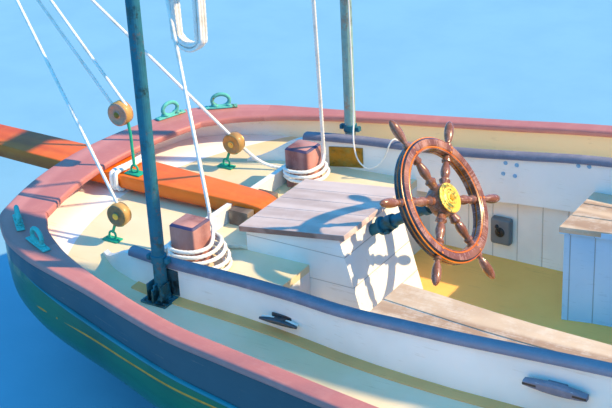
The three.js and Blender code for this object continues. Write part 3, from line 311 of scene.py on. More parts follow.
@dataclass(frozen=True)
class Wood(Finish):
    """Bare or varnished wood with growth lines, pores and weathering."""

    light: str
    dark: str
    grain: Grain
    rough: float
    coat: float = 0.0
    lines: float = 26.0
    worn: str = "b9b2b4"
    wear: float = 0.0
    bump: float = 0.0008

    def make(self, shade: Shade) -> bpy.types.Material:
        """Builds the nodes."""
        place = shade.along() if self.grain is Grain.SWEPT else shade.place()
        fibre_place = shade.stretched(place, self.grain.value)
        bend = shade.noise(fibre_place, 5.0, 2.0)
        fibres = shade.noise(fibre_place, 150.0, 5.0, 0.7)
        growth = ((bend * self.lines).math("SINE") * 0.5 + 0.5) * 0.6 + fibres * 0.4
        cloud = shade.cloud(3.1, 3.0)
        colour = shade.mix(growth.fade(0.15, 0.85), self.light, self.dark)
        colour = shade.mix(cloud.fade(0.4, 0.75) * 0.5, colour, self.dark)
        scuffs = (shade.cloud(17.0, 6.0, 0.75) * 0.6 + fibres * 0.4).fade(0.47, 0.6)
        colour = shade.mix(scuffs * self.wear, colour, self.worn)
        height = fibres * 0.7 + growth * 0.3
        rough = fibres * 0.15 + scuffs * (0.3 * self.wear) + (self.rough - 0.07)
        return shade.finish(base_color=colour, roughness=rough, normal=shade.bump(height, self.bump),
                            coat_weight=self.coat, coat_roughness=0.08)


@dataclass(frozen=True)
class Metal(Finish):
    """Metal under a crust of verdigris or rust."""

    metal: str
    crust: str
    share: float
    spots: str
    spotted: float
    rough: float = 0.35

    def make(self, shade: Shade) -> bpy.types.Material:
        """Builds the nodes."""
        broad = shade.cloud(9.0, 5.0, 0.65)
        fine = shade.cloud(75.0, 4.0, 0.7)
        crust = (broad * 0.6 + fine * 0.4).fade(0.62 - 0.3 * self.share, 0.74 - 0.3 * self.share)
        colour = shade.mix(crust, self.metal, self.crust)
        tone = shade.cloud(31.0, 3.0)
        colour = shade.mix(tone.fade(0.4, 0.7) * 0.35, colour, rgb(self.crust, 0.55))
        rust = shade.cloud(23.0, 5.0, 0.8).fade(0.56, 0.66) * self.spotted
        colour = shade.mix(rust, colour, self.spots)
        rough = crust * (0.75 - self.rough) + fine * 0.1 + (self.rough - 0.05)
        metallic = (1 - crust) * 0.95
        height = crust * 0.7 + fine * 0.5
        return shade.finish(base_color=colour, roughness=rough, metallic=metallic,
                            normal=shade.bump(height, 0.0007))


@dataclass(frozen=True)
class Fibre(Finish):
    """Laid rope: pale strands with darker valleys and fine hairs."""

    colour: str
    dirt: str
    coarse: float = 900.0

    def make(self, shade: Shade) -> bpy.types.Material:
        """Builds the nodes."""
        hairs = shade.noise(shade.stretched(shade.along(), (0.2, 1.0, 1.0)), self.coarse, 2.0)
        cloud = shade.cloud(14.0, 4.0)
        colour = shade.mix(cloud.fade(0.45, 0.75) * 0.55, self.colour, self.dirt)
        colour = shade.mix(hairs.fade(0.5, 0.8) * 0.35, colour, self.dirt)
        return shade.finish(base_color=colour, roughness=0.85, normal=shade.bump(hairs, 0.0006),
                            sheen_weight=0.3)


@dataclass(frozen=True)
class Canvas(Finish):
    """Sailcloth with a fine weave, creases and faint mildew."""

    colour: str
    shade_of: str

    def make(self, shade: Shade) -> bpy.types.Material:
        """Builds the nodes."""
        x, _, z = shade.axes(shade.place())
        weave = ((x * 2600.0).math("SINE") * (z * 2600.0).math("SINE")) * 0.5 + 0.5
        cloud = shade.cloud(4.0, 4.0)
        creases = shade.noise(shade.stretched(shade.place(), (0.35, 1.0, 1.0)), 26.0, 5.0, 0.6)
        colour = shade.mix(cloud.fade(0.35, 0.75), self.colour, self.shade_of)
        height = weave * 0.1 + creases
        return shade.finish(base_color=colour, roughness=0.88, normal=shade.bump(height, 0.006),
                            sheen_weight=0.2)


@dataclass(frozen=True)
class Glazing(Finish):
    """Thick old window glass, dark behind."""

    colour: str

    def make(self, shade: Shade) -> bpy.types.Material:
        """Builds the nodes."""
        salt = shade.cloud(40.0, 4.0)
        ripple = shade.cloud(14.0, 2.0)
        return shade.finish(base_color=shade.mix(salt.fade(0.5, 0.8) * 0.2, self.colour, "c9d2d6"),
                            roughness=salt * 0.1 + 0.04, coat_weight=0.6, normal=shade.bump(ripple, 0.002))


GREEN_PAINT = Paint("green_topsides", "topsides", "026a3c", "6d8f5a", "01502c", 0.3, 0.28, 0.3,
                    Grain.SWEPT, Seam(1, 1.0, 0.035, 0.0008), below=(0.04, "6e2c22"))
SLATE_PAINT = Paint("slate_band", "topsides", "1c4a58", "7d7068", "144250", 0.55, 0.4, 0.15, Grain.SWEPT)
# The ledge's teal is a painted highlight: sky light caught on its top edge.
LEDGE_HIGHLIGHT_PAINT = Paint("ledge_painted_highlight", "topsides", "1d7f8c", "0f4a58", "176a72", 0.4, 0.35, 0.2, Grain.SWEPT)
GOLD_LEAF = Metal("gold_stripe", "brass", "ffab4e", "e8963e", 0.15, "a86a20", 0.15, 0.4)
WHITE_PAINT = Paint("white_paint", "white_paint", "f3f2ee", "b8a98c", "e6e4df", 0.22, 0.36)
STAVED_PAINT = Paint("staved_white", "white_paint", "f1f0ec", "b09a80", "dfdcd8", 0.25, 0.4,
                     seam=Seam(0, 0.112, 0.0035, 0.002))
# The bulwarks' insides turn warm cream forward of the stern: painted bounce light from the sunlit deck.
BULWARK_PAINT = Paint("bulwark_white", "white_paint", "fffaf0", "c2a070", "fff0d8", 0.22, 0.38,
                      painted_bounce_light=(-4.15, -3.5, "ffdcaa"))
DECK_PAINT = Paint("cream_deck", "cream_deck", "ecdcbc", "b59768", "e2cea4", 0.3, 0.6, bump=0.0008)
AFT_DECK_PAINT = Paint("aft_deck", "cream_deck", "e8d8b8", "b59768", "dccaa0", 0.25, 0.5,
                       aft=(-4.23, 0.45, "f6f5f2"))
STRIP_PAINT = Paint("tan_strip", "cream_deck", "dcae6c", "9a7a4e", "c79a5c", 0.35, 0.55)
SOLE_PAINT = Paint("ochre_sole", "ochre_sole", "ffc266", "d69a50", "f6b458", 0.25, 0.55)
BOTTOM_PAINT = Paint("bottom_paint", "bottom_paint", "6e2c22", "4d5a3a", "5a2a22", 0.6, 0.8)
ENGINE_PAINT = Paint("engine_paint", "engine", "3f5f4c", "30241c", "2f4a3b", 0.6, 0.5)
PANEL_GREY = Paint("panel_grey", "panel", "6f787f", "4b4f55", "59636c", 0.3, 0.45)
# Dark paint of the panel's knob, also used as painted shade in the wooden cleats' slots.
DARK_KNOB_AND_SLOT_SHADE = Paint("dark_knob_and_slot_shade", "panel", "23262b", "4b4f55", "15171a", 0.2, 0.35)
RAIL_WOOD = Wood("rail_wood", "rail_wood", "d68c82", "b9726c", Grain.SWEPT, 0.5, 0.0, 18.0,
                 "e4b0a4", 0.12, bump=0.0005)
CAP_WOOD = Wood("cap_wood", "weathered_wood", "8f8c98", "6c6c7c", Grain.SWEPT, 0.78, 0.0, 30.0,
                "bab2bc", 0.2, bump=0.001)
LID_WOOD = Wood("lid_wood", "weathered_wood", "dac6be", "bea9a2", Grain.X, 0.8, 0.0, 30.0,
                "e0d6d8", 0.2, bump=0.001)
SLAT_WOOD = Wood("slat_wood", "weathered_wood", "d9bfa2", "a98a72", Grain.X, 0.72, 0.0, 24.0,
                 "e6dccf", 0.35, bump=0.001)
CHOCK_WOOD = Wood("chock_wood", "weathered_wood", "9b8a7a", "5f5048", Grain.Y, 0.8, 0.0, 30.0)
BOOMKIN_WOOD = Wood("boomkin_varnish", "varnished_wood", "f0700a", "c64e04", Grain.X, 0.46, 0.08, 22.0,
                    "ffab58", 0.12, bump=0.0003)
VARNISH = Wood("varnish", "varnished_wood", "c4691c", "7c3a0e", Grain.X, 0.25, 0.6, 22.0, bump=0.0003)
DOOR_VARNISH = Wood("door_varnish", "varnished_wood", "b8601c", "74360e", Grain.Z, 0.25, 0.6, 22.0,
                    bump=0.0003)
WHEEL_WOOD = Wood("wheel_varnish", "wheel_wood", "be805a", "7a4428", Grain.SWEPT, 0.22, 0.6, 16.0,
                  "dcaea0", 0.35, bump=0.0003)
# Near black copy of the wheel wood for the rim's outer side: painted shade.
WHEEL_RIM_SHADE = Wood("wheel_rim_painted_shade", "wheel_wood", "4a3a2c", "26242c", Grain.SWEPT, 0.2, 0.6, 16.0, bump=0.0003)
INLAY = Wood("orange_inlay", "wheel_wood", "ff8c1a", "e0660a", Grain.SWEPT, 0.25, 0.6, 12.0, bump=0.0003)
BITT_WOOD = Wood("bitt_wood", "bitt_wood", "c28a80", "8c5650", Grain.Z, 0.55, 0.0, 22.0, "d4aaa0", 0.25)
# Dark blue copy of the bitt wood for the chamfers: painted shade and sky reflection.
BITT_CHAMFER_SHADE = Wood("bitt_chamfer_painted_shade", "bitt_wood", "3a3c66", "5c4458", Grain.Z, 0.55, 0.0, 22.0)
SPAR = Wood("spar_varnish", "spar_wood", "cf8f42", "96591e", Grain.X, 0.25, 0.6, 20.0, bump=0.0003)
MAST_SPAR = Wood("mast_varnish", "spar_wood", "cf8f42", "96591e", Grain.Z, 0.25, 0.6, 20.0, bump=0.0003)
VERDIGRIS = Metal("verdigris", "verdigris", "8a8a55", "5cc0b4", 0.85, "6b4a34", 0.15)
GREEN_PATINA = Metal("green_patina", "verdigris", "3f9a80", "14a886", 0.85, "5a5a34", 0.12)
# Lighter copy of the posts' patina for the port post: painted light.
PORT_POST_LIT = Metal("port_post_patina_painted_light", "verdigris", "9a9488", "86aaa4", 0.75, "8a5a44", 0.5)
CHEEK_GOLD = Metal("cheek_gold", "bronze", "c8a064", "b98d5a", 0.6, "8a6a30", 0.3, 0.5)
CHEEK_GREY = Metal("cheek_grey", "bronze", "958a64", "7d745c", 0.6, "55553a", 0.3, 0.5)
CHEEK_PINK = Metal("cheek_pink", "bronze", "cfa488", "b88a7c", 0.6, "74703a", 0.3, 0.5)
POST_BRONZE = Metal("post_patina", "verdigris", "3c5c60", "1c6a7c", 0.8, "7a4a34", 0.5)
DARK_PLATE = Metal("dark_plate", "verdigris", "3a4a50", "25505c", 0.7, "4a3a34", 0.5)
BRONZE = Metal("old_bronze", "bronze", "9a8440", "8f8438", 0.45, "4f6a3a", 0.4, 0.4)
BRASS = Metal("brass", "brass", "ffd66a", "ffc84e", 0.7, "c88a3a", 0.1, 0.25)
IRON = Metal("iron", "wire", "5a6168", "3a4248", 0.5, "6b4632", 0.4, 0.45)
WIRE = Metal("wire", "wire", "9aa0a5", "6f767c", 0.3, "6b4632", 0.15, 0.4)
ROPE = Fibre("rope", "rope", "f4f1ea", "b9ab90")
OLD_ROPE = Fibre("old_rope", "rope", "e9dfc8", "8a7350")
SAILCLOTH = Canvas("sailcloth", "canvas", "efe6d2", "d8ccb2")
BLOCK_WOOD = Wood("block_wood", "varnished_wood", "c79a52", "8a6030", Grain.X, 0.5, 0.2, 22.0)
GLASS = Glazing("port_glass", "panel", "26343a")
BOX_PAINT = Paint("box_white", "white_paint", "f3f2ee", "a99a80", "e6e4df", 0.25, 0.4,
                  seam=Seam(2, 0.118, 0.003, 0.0015, 0.02))
# Darker copy of the lid wood for the planks' sides: painted shade.
LID_SIDE_SHADE = Wood("lid_side_painted_shade", "weathered_wood", "bd9486", "8c685c", Grain.Y, 0.75)
# The benches' light blue is painted shade: it stands in for the sky-lit shade on their staved fronts.
BENCH_SHADE_BLUE_PAINT = Paint("bench_painted_shade_blue", "white_paint", "a8d4f4", "7fa8c8", "8cc4ec", 0.25, 0.4,
                    seam=Seam(0, 0.092, 0.0035, 0.002, 0.03))
BOLT_BLUE = Paint("blue_bolts", "panel", "7db4d8", "4a6a80", "5c9cc8", 0.3, 0.4)
FLOOR_PAINT = Paint("plain_floor", "white_paint", "7fb0c8", "76a7bf", "7aabc3", 0.1, 0.6)


def smooth(rows: Sequence[Point]) -> Curve:
    """Curve through rows of distance and value, with no overshoot."""
    last = len(rows) - 1
    rises = [(b[1] - a[1]) / (b[0] - a[0]) for a, b in zip(rows, rows[1:])]
    slopes = [rises[0]]
    for before, after in zip(rises, rises[1:]):
        slopes.append(0.0 if before * after <= 0 else 2 * before * after / (before + after))
    slopes.append(rises[-1])

    def value(x: float) -> float:
        """Value at a distance."""
        i = max(0, min(last - 1, sum(1 for row in rows if row[0] <= x) - 1))
        span = rows[i + 1][0] - rows[i][0]
        t = max(0.0, min(1.0, (x - rows[i][0]) / span))
        ease = t * t * (3 - 2 * t)
        bend = slopes[i] * t * (1 - t) ** 2 - slopes[i + 1] * t * t * (1 - t)
        return rows[i][1] * (1 - ease) + rows[i + 1][1] * ease + span * bend

    return value


def spread(start: float, end: float, count: int) -> list[float]:
    """Numbers from start to end in equal steps."""
    return [start + (end - start) * i / count for i in range(count + 1)]


def hoop(centre: Point, wide: float, high: float, count: int) -> list[Point]:
    """Upright ring of points that stands fore and aft."""
    x, y, z = centre
    return [(x + wide * cos(a), y, z + high * sin(a)) for a in spread(0, 2 * pi, count)]


def rounded(low: Point, high: Point, radius: float, steps: int) -> list[Point]:
    """Rectangle with round corners, from its upper left past its upper right."""
    left, right = low[0] + radius, high[0] - radius
    foot, top = low[1] + radius, high[1] - radius
    return [(u + radius * cos(a), v + radius * sin(a))
            for u, v, start in ((left, top, 180), (right, top, 90), (right, foot, 0), (left, foot, 270))
            for a in spread(radians(start), radians(start - 90), steps)]


def bent(a: Vector, b: Vector, c: Vector, d: Vector, t: float) -> Vector:
    """Point between the inner two of four points, on the smooth curve through all."""
    return (2 * b + (c - a) * t + (2 * a - 5 * b + 4 * c - d) * t * t + (3 * b - a - 3 * c + d) * t ** 3) / 2


def route(points: Sequence[Point], step: float) -> list[Vector]:
    """Smooth line through points, resampled at equal steps."""
    knots = [Vector(p) for p in points]
    ends = [2 * knots[0] - knots[1], *knots, 2 * knots[-1] - knots[-2]]
    fine: list[Vector] = []
    for a, b, c, d in zip(ends, ends[1:], ends[2:], ends[3:]):
        count = max(2, int((c - b).length / step * 3))
        fine += [bent(a, b, c, d, i / count) for i in range(count)]
    fine.append(knots[-1])
    gone = [0.0]
    for a, b in zip(fine, fine[1:]):
        gone.append(gone[-1] + (b - a).length)
    count = max(2, round(gone[-1] / step))
    places = np.interp(spread(0, gone[-1], count), gone, range(len(fine)))
    return [fine[int(p)].lerp(fine[min(int(p) + 1, len(fine) - 1)], p - int(p)) for p in places]


def across(direction: Vector) -> tuple[Vector, Vector]:
    """Two directions square to a direction and to each other."""
    start = Vector((0, 0, 1)) if abs(direction.z) < 0.9 else Vector((1, 0, 0))
    side = direction.cross(start).normalized()
    return side, direction.cross(side).normalized()


def placed(name: str, data: bpy.types.ID) -> bpy.types.Object:
    """Puts a new object into the scene."""
    made = bpy.data.objects.new(name, data)
    bpy.context.scene.collection.objects.link(made)
    return made


def soften(mesh: bpy.types.Mesh, sharp: float) -> None:
    """Shades a mesh smooth, but for edges steeper than so many degrees."""
    mesh.shade_smooth()
    mesh.set_sharp_from_angle(angle=radians(sharp))


class Form:
    """A mesh in the making: its corners, faces, swept places and finishes."""

    def __init__(self) -> None:
        """Starts with nothing."""
        self.corners: list[Vector] = []
        self.faces: list[tuple[int, ...]] = []
        self.places: list[list[tuple[float, float]]] = []
        self.marks: list[int] = []

    def face(self, corners: Sequence[int], places: Sequence[tuple[float, float]] | None = None,
             mark: int = 0) -> None:
        """Adds one face."""
        self.faces.append(tuple(corners))
        self.places.append(list(places or [(0.0, 0.0)] * len(corners)))
        self.marks.append(mark)

    def normal(self, face: Sequence[int]) -> Vector:
        """Direction that a face looks in."""
        a, b, c = (self.corners[i] for i in face[:3])
        return (b - a).cross(c - b).normalized()

    def rings(self, rings: Sequence[Sequence[Point]], closed: bool = True, caps: bool = True,
              mark: int = 0, girth: Sequence[float] | None = None) -> "Form":
        """Skin over a run of rings.

        Args:
            rings: points of each ring, all of one count.
            closed: whether a ring's last point joins its first.
            caps: whether the first and last rings are filled.
            mark: number of the finish.
            girth: places across the rings, otherwise their true distances.

        Returns:
            The form itself.
        """
        start = len(self.corners)
        count = len(rings[0])
        points = [[Vector(p) for p in ring] for ring in rings]
        self.corners.extend(p for ring in points for p in ring)
        centres = [sum(ring, Vector()) / count for ring in points]
        middle = points[len(points) // 2]
        around = [0.0]
        for i in range(count):
            around.append(around[-1] + (middle[(i + 1) % count] - middle[i]).length)
        around = list(girth) if girth else around
        along = 0.0
        for r in range(len(rings) - 1):
            after = along + (centres[r + 1] - centres[r]).length
            for i in range(count if closed else count - 1):
                a, b = start + r * count + i, start + r * count + (i + 1) % count
                near, far = around[i], around[i + 1]
                spots = [(along, near), (along, far), (after, far), (after, near)]
                self.face((a, b, b + count, a + count), spots, mark)
            along = after
        if closed and caps:
            self.face(range(start + count - 1, start - 1, -1), None, mark)
            end = start + (len(rings) - 1) * count
            self.face(range(end, end + count), None, mark)
        return self

    def tube(self, path: Sequence[Point], radius: float | Sequence[float], sides: int = 12, mark: int = 0,
             lobes: int = 0, lay: float = 1.0) -> "Form":
        """Tube along a path, or a laid rope where it has lobes.

        Args:
            path: points of the centreline.
            radius: radius, or one for each point.
            sides: sides of the section.
            mark: number of the finish.
            lobes: strands that show, with valleys between them.
            lay: length in which the strands go round once.

        Returns:
            The form itself.
        """
        points = [Vector(p) for p in path]
        sizes = [radius] * len(points) if isinstance(radius, (int, float)) else list(radius)
        side = None
        gone = 0.0
        rings = []
        for i, point in enumerate(points):
            ahead = (points[min(i + 1, len(points) - 1)] - points[max(i - 1, 0)]).normalized()
            side = across(ahead)[0] if side is None else (side - ahead * side.dot(ahead)).normalized()
            other = ahead.cross(side)
            gone += (point - points[i - 1]).length if i else 0.0
            turn = 2 * pi * gone / lay
            ring = []
            for k in range(sides):
                angle = 2 * pi * k / sides
                size = sizes[i]
                if lobes:
                    crest = abs(cos(lobes * (angle - turn) / 2)) ** 0.7
                    size *= 1 - STRAND_VALLEY + STRAND_VALLEY * crest
                ring.append(point + (side * cos(angle) + other * sin(angle)) * size)
            rings.append(ring)
        return self.rings(rings, mark=mark)

    def rope(self, points: Sequence[Point], radius: float) -> "Form":
        """Laid rope through points."""
        path = route(points, radius * ROPE_STEP)
        return self.tube(path, radius, ROPE_SIDES, 0, STRANDS, radius * STRAND_LAY)

    def lathe(self, profile: Sequence[Point], origin: Point, direction: Point, sides: int = 32,
              mark: int = 0, closed: bool = False) -> "Form":
        """Turned shape: a profile of radius and height round a line."""
        axis = Vector(direction).normalized()
        side, other = across(axis)
        rings = []
        for radius, height in profile:
            centre = Vector(origin) + axis * height
            rings.append([centre + (side * cos(a) + other * sin(a)) * max(radius, MERGED)
                          for a in (2 * pi * k / sides for k in range(sides))])
        if closed:
            rings.append(rings[0])
        return self.rings(rings, caps=not closed, mark=mark)

    def nut(self, sizes: Point, origin: Point, direction: Point, sides: int = 12, mark: int = 0) -> "Form":
        """Nut or boss: its radius, upper radius, shoulder height and full height."""
        radius, upper, shoulder, height = sizes
        profile = [(0, 0), (radius, 0), (radius, shoulder), (upper, height), (0, height)]
        return self.lathe(profile, origin, direction, sides, mark)

    def stud(self, sizes: Point, origin: Point, direction: Point, sides: int = 12, mark: int = 0) -> "Form":
        """Domed head: its radius, upper radius, shoulder height and full height."""
        radius, upper, shoulder, height = sizes
        return self.lathe([(0, 0), (radius, 0), (upper, shoulder), (0, height)], origin, direction, sides,
                          mark)

    def flank(self, side: int, x: Point, y: Point, z: Point, rounding: float, mark: int = 0) -> "Form":
        """Block on one side of the boat, between two values along each axis."""
        low, high = sorted(side * v for v in y)
        return self.block((x[0], low, z[0]), (x[1], high, z[1]), rounding, mark=mark)

    def block(self, low: Point, high: Point, rounding: float = 0.003, turn: Matrix | None = None,
              mark: int = 0, steps: int = 2) -> "Form":
        """Box with rounded edges, turned about its middle."""
        made = bmesh.new()
        bmesh.ops.create_cube(made, size=1.0)
        size = Vector(high) - Vector(low)
        middle = (Vector(high) + Vector(low)) / 2
        bmesh.ops.scale(made, vec=size, verts=made.verts)
        if rounding:
            bmesh.ops.bevel(made, geom=made.edges[:], offset=rounding, segments=steps, affect="EDGES",
                            profile=0.5)
        if turn:
            bmesh.ops.transform(made, matrix=turn, verts=made.verts)
        bmesh.ops.translate(made, vec=middle, verts=made.verts)
        return self.take(made, mark)

    def ball(self, centre: Point, radius: float, squash: Point = (1, 1, 1), mark: int = 0) -> "Form":
        """Ball, longer or shorter along each axis."""
        made = bmesh.new()
        bmesh.ops.create_uvsphere(made, u_segments=16, v_segments=10, radius=radius)
        bmesh.ops.scale(made, vec=Vector(squash), verts=made.verts)
        bmesh.ops.translate(made, vec=Vector(centre), verts=made.verts)
        return self.take(made, mark)

    def take(self, made: bmesh.types.BMesh, mark: int) -> "Form":
        """Adds a finished bmesh."""
        start = len(self.corners)
        made.verts.ensure_lookup_table()
        self.corners.extend(v.co.copy() for v in made.verts)
        for f in made.faces:
            self.face([start + v.index for v in f.verts], None, mark)
        made.free()
        return self

    def make(self, name: str, finishes: "Finish | Sequence[Finish]", body: str | None = "root",
             sharp: float = 38.0, replaced: Sequence[str] = ()) -> bpy.types.Object:
        """Makes the object, dresses it and lets it ride on a body.

        Args:
            name: the piece's name.
            finishes: the finish of each mark.
            body: the CAD body that carries it, or none to leave it on no body.
            sharp: edges steeper than this many degrees stay sharp.
            replaced: CAD nodes that the piece stands for.

        Returns:
            The new object.
        """
        several = [finishes] if isinstance(finishes, Finish) else list(finishes)
        mesh = bpy.data.meshes.new(name)
        mesh.from_pydata([tuple(v) for v in self.corners], [], self.faces)
        layer = mesh.uv_layers.new(name="swept")
        flat = np.array([c for places in self.places for c in places], np.float32)
        layer.data.foreach_set("uv", flat.ravel())
        for finish in several:
            mesh.materials.append(finish.material())
        mesh.polygons.foreach_set("material_index", self.marks)
        tidy = bmesh.new()
        tidy.from_mesh(mesh)
        bmesh.ops.remove_doubles(tidy, verts=tidy.verts, dist=MERGED)
        bmesh.ops.dissolve_degenerate(tidy, edges=tidy.edges, dist=MERGED / 10)
        bmesh.ops.recalc_face_normals(tidy, faces=tidy.faces)
        tidy.to_mesh(mesh)
        tidy.free()
        soften(mesh, sharp)
        made = placed(name, mesh)
        if body:
            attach(made, body)
        if replaced:
            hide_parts(*replaced)
        LOG.info("%s: %d faces on %s", name, len(mesh.polygons), body)
        return made


def dress(finish: Finish, *nodes: str) -> None:
    """Gives CAD nodes a finish."""
    for node in nodes:
        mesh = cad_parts[node].data
        mesh.materials.clear()
        mesh.materials.append(finish.material())
        soften(mesh, DRESS_SHARP)


@dataclass(frozen=True)
class HullLines:
    """The hull's plan and heights, which the bulwarks, rail and coaming follow."""

    cap_thick: float = 0.03
    cap_overhang: float = 0.014
    bulwark: float = 0.042
    quarter: float = 6.0
    halvings: int = 40
    stations: tuple[Point, ...] = (
        *[(-4.5 + 0.36 * y * y, y) for y in (0, 0.1, 0.2, 0.3, 0.4, 0.5, 0.6)], (-4.3, 0.67), (-4.2, 0.745),
        (-4.05, 0.812), (-3.9, 0.855), (-3.69, 0.909), (-3.46, 0.977), (-3.23, 1.039), (-2.99, 1.085),
        (-2.76, 1.129), (-2.53, 1.17), (-2.0, 1.25), (-1.5, 1.318), (-1.0, 1.37), (-0.3, 1.42),
        (0.5, 1.438), (1.5, 1.37), (2.1, 1.26), (2.6, 1.11), (3.1, 0.9), (3.5, 0.695), (3.9, 0.46),
        (4.2, 0.26), (4.4, 0.11), (4.5, 0.03))
    deck: Curve = smooth([(-4.5, 0.63), (-3.6, 0.62), (-2.76, 0.63), (-1.5, 0.655), (0, 0.73), (1.5, 0.84),
                          (3, 0.99), (4.5, 1.18)])
    rail: Curve = smooth([(-4.5, 0.75), (-3.34, 0.75), (-2.99, 0.762), (-2.76, 0.774), (-2.53, 0.783),
                          (-1.5, 0.812), (0, 0.888), (1.5, 0.998), (3, 1.15), (4.5, 1.345)])
    rabbet: Curve = smooth([(-4.5, 0.5), (-4.45, 0.44), (-4.3, 0.36), (-4, 0.26), (-3.5, 0.13), (-3, -0.02),
                            (-2.6, -0.19), (-2, -0.4), (-1, -0.6), (0, -0.66), (1.5, -0.64), (2.5, -0.55),
                            (3.3, -0.42), (3.9, -0.2), (4.2, 0.05), (4.35, 0.35), (4.45, 0.62), (4.5, 0.95)])
    fullness: Curve = smooth([(-4.5, 9.0), (-4.0, 8.0), (-3.5, 6.0), (-2.5, 4.4), (-1, 2.68), (0, 2.6),
                              (2, 2.0), (3.5, 1.5), (4.5, 1.2)])
    ledge: Curve = smooth([(-4.1, 0.645), (-3.9, 0.618), (-3.6, 0.596), (-3, 0.588), (-2, 0.603),
                           (-1, 0.636), (0, 0.692), (1.5, 0.804), (3, 0.954), (4.3, 1.118)])
    cap_width: Curve = smooth([(-4.5, 0.2), (-4.37, 0.19), (-4.2, 0.165), (-4.05, 0.14), (-3.9, 0.11),
                               (-3.69, 0.082), (-3.46, 0.075), (4.5, 0.075)])
    coaming_half: Curve = smooth([(-3.73, 0.6), (-3.58, 0.623), (-3.46, 0.633), (-3.23, 0.645),
                                  (-2.99, 0.668), (-2.76, 0.704), (-2.53, 0.726), (-2.3, 0.735),
                                  (-1.17, 0.735)])
    coaming_top: Curve = smooth([(-3.73, 0.757), (-3.46, 0.771), (-3.23, 0.781), (-2.99, 0.792),
                                 (-2.76, 0.806), (-2.53, 0.827), (-2.26, 0.845), (-1.86, 0.87),
                                 (-1.17, 0.9)])

    def station(self, index: int) -> Vector:
        """Station on either side; a negative index is starboard."""
        last = len(self.stations) - 1
        x, y = self.stations[min(abs(index), last)]
        return Vector((x, -y if index < 0 else y))

    def plan(self, place: float) -> tuple[Vector, Vector]:
        """Point of the rail's outside in plan and the direction outwards."""
        last = len(self.stations) - 1
        i = max(-last, min(last - 1, floor(place)))
        t = place - i
        a, b, c, d = (self.station(k) for k in (i - 1, i, i + 1, i + 2))
        point = bent(a, b, c, d, t)
        run = (c - a) + 2 * (2 * a - 5 * b + 4 * c - d) * t + 3 * (3 * b - a - 3 * c + d) * t * t
        run.normalize()
        return point, Vector((-run.y, run.x))

    def place_at(self, x: float) -> float:
        """Place on the port side at a distance from amidships."""
        low, high = self.quarter, float(len(self.stations) - 1)
        for _ in range(self.halvings):
            middle = (low + high) / 2
            low, high = (middle, high) if self.plan(middle)[0].x < x else (low, middle)
        return low

    def side(self, place: float, z: float, out: float = 0.0) -> Vector:
        """Point of the hull's side at a height, moved outwards in plan."""
        point, away = self.plan(place)
        foot = self.rabbet(point.x) - max(out, 0.0)
        t = max(0.0, min(1.0, (z - foot) / (self.rail(point.x) - foot)))
        half = point.y * (1 - (1 - t) ** self.fullness(point.x))
        return Vector((point.x + away.x * out, half + away.y * out, z))


LINES = HullLines()
WHOLE = len(LINES.stations) - 1


def places(start: float, end: float, fine: int = 5) -> list[float]:
    """Places along the rail between two ends."""
    return spread(start, end, max(2, round(abs(end - start) * fine)))


@dataclass
class Hull:
    """Outside of the hull, and the look of what is under water."""

    proud: float = 0.0022
    strakes: int = 14
    rows: int = 26
    cove_drop: float = 0.213
    cove_half: float = 0.0055
    cove_out: float = 0.0016
    cove_runs: tuple[Point, ...] = ((-4.035, -3.965), (-3.91, -3.9), (-3.86, 3.9))
    ledge_ends: Point = (-4.1, 4.3)
    ledge_high: float = 0.015
    ledge_out: float = 0.01

    def build(self) -> None:
        """Makes every piece of the hull's outside."""
        dress(GREEN_PAINT, "hull", "stem_head")
        dress(BOTTOM_PAINT, "keel", "rudder")
        dress(BRONZE, "propeller")
        dress(ENGINE_PAINT, "engine")
        self.planking()
        self.ledge()
        self.cove_stripe()

    def planking(self) -> None:
        """Green planks up to the ledge and the slate band above it."""
        topsides, band = Form(), Form()
        inside, end = 0.004, WHOLE - 0.02
        lower, upper = [], []
        for place in places(-end, end):
            x = LINES.plan(place)[0].x
            foot, middle = LINES.rabbet(x) - self.proud, LINES.ledge(x)
            top = LINES.rail(x) - LINES.cap_thick + inside
            levels = [(k / self.rows) ** 1.5 for k in range(self.rows + 1)]
            lower.append([LINES.side(place, foot + (middle - foot) * s, self.proud) for s in levels])
            upper.append([LINES.side(place, z, self.proud) for z in spread(middle, top, 4)])
        girth = [self.strakes * (k / self.rows) ** 0.8 for k in range(self.rows + 1)]
        topsides.rings(lower, closed=False, girth=girth).make("planking", GREEN_PAINT)
        band.rings(upper, closed=False).make("slate_band", SLATE_PAINT)

    def moulding(self, start: float, end: float, height: Curve, half: float, out: float, side: int,
                 taper: float) -> list[list[Vector]]:
        """Rings of a strip along one side of the hull."""
        rings = []
        for place in places(LINES.place_at(start), LINES.place_at(end), 6):
            x = LINES.plan(place)[0].x
            slim = max(0.1, min(1.0, (x - start) / taper, (end - x) / taper))
            z = height(x)
            ring = []
            for angle in spread(-pi / 2, pi / 2, 6):
                reach = self.proud - 0.001 + (out * slim + 0.001) * cos(angle) ** 0.6
                ring.append(LINES.side(side * place, z + half * slim * sin(angle), reach))
            rings.append(ring)
        return rings

    def ledge(self) -> None:
        """Thin ledge at the foot of the slate band, in teal that is a painted highlight of the sky on its
        top edge.
        """
        form = Form()
        for side in (-1, 1):
            strip = self.moulding(*self.ledge_ends, LINES.ledge, self.ledge_high / 2, self.ledge_out, side,
                                  0.3)
            form.rings(strip)
        form.make("ledge", LEDGE_HIGHLIGHT_PAINT)

    def cove(self, x: float) -> float:
        """Height of the gold stripe's middle."""
        return LINES.rail(x) - self.cove_drop

    def cove_stripe(self) -> None:
        """Gold stripe with its dash and dot."""
        form = Form()
        for side in (-1, 1):
            for start, end in self.cove_runs:
                taper = min(0.12, (end - start) / 3)
                strip = self.moulding(start, end, self.cove, self.cove_half, self.cove_out, side, taper)
                form.rings(strip, closed=False)
        form.make("cove_stripe", GOLD_LEAF)


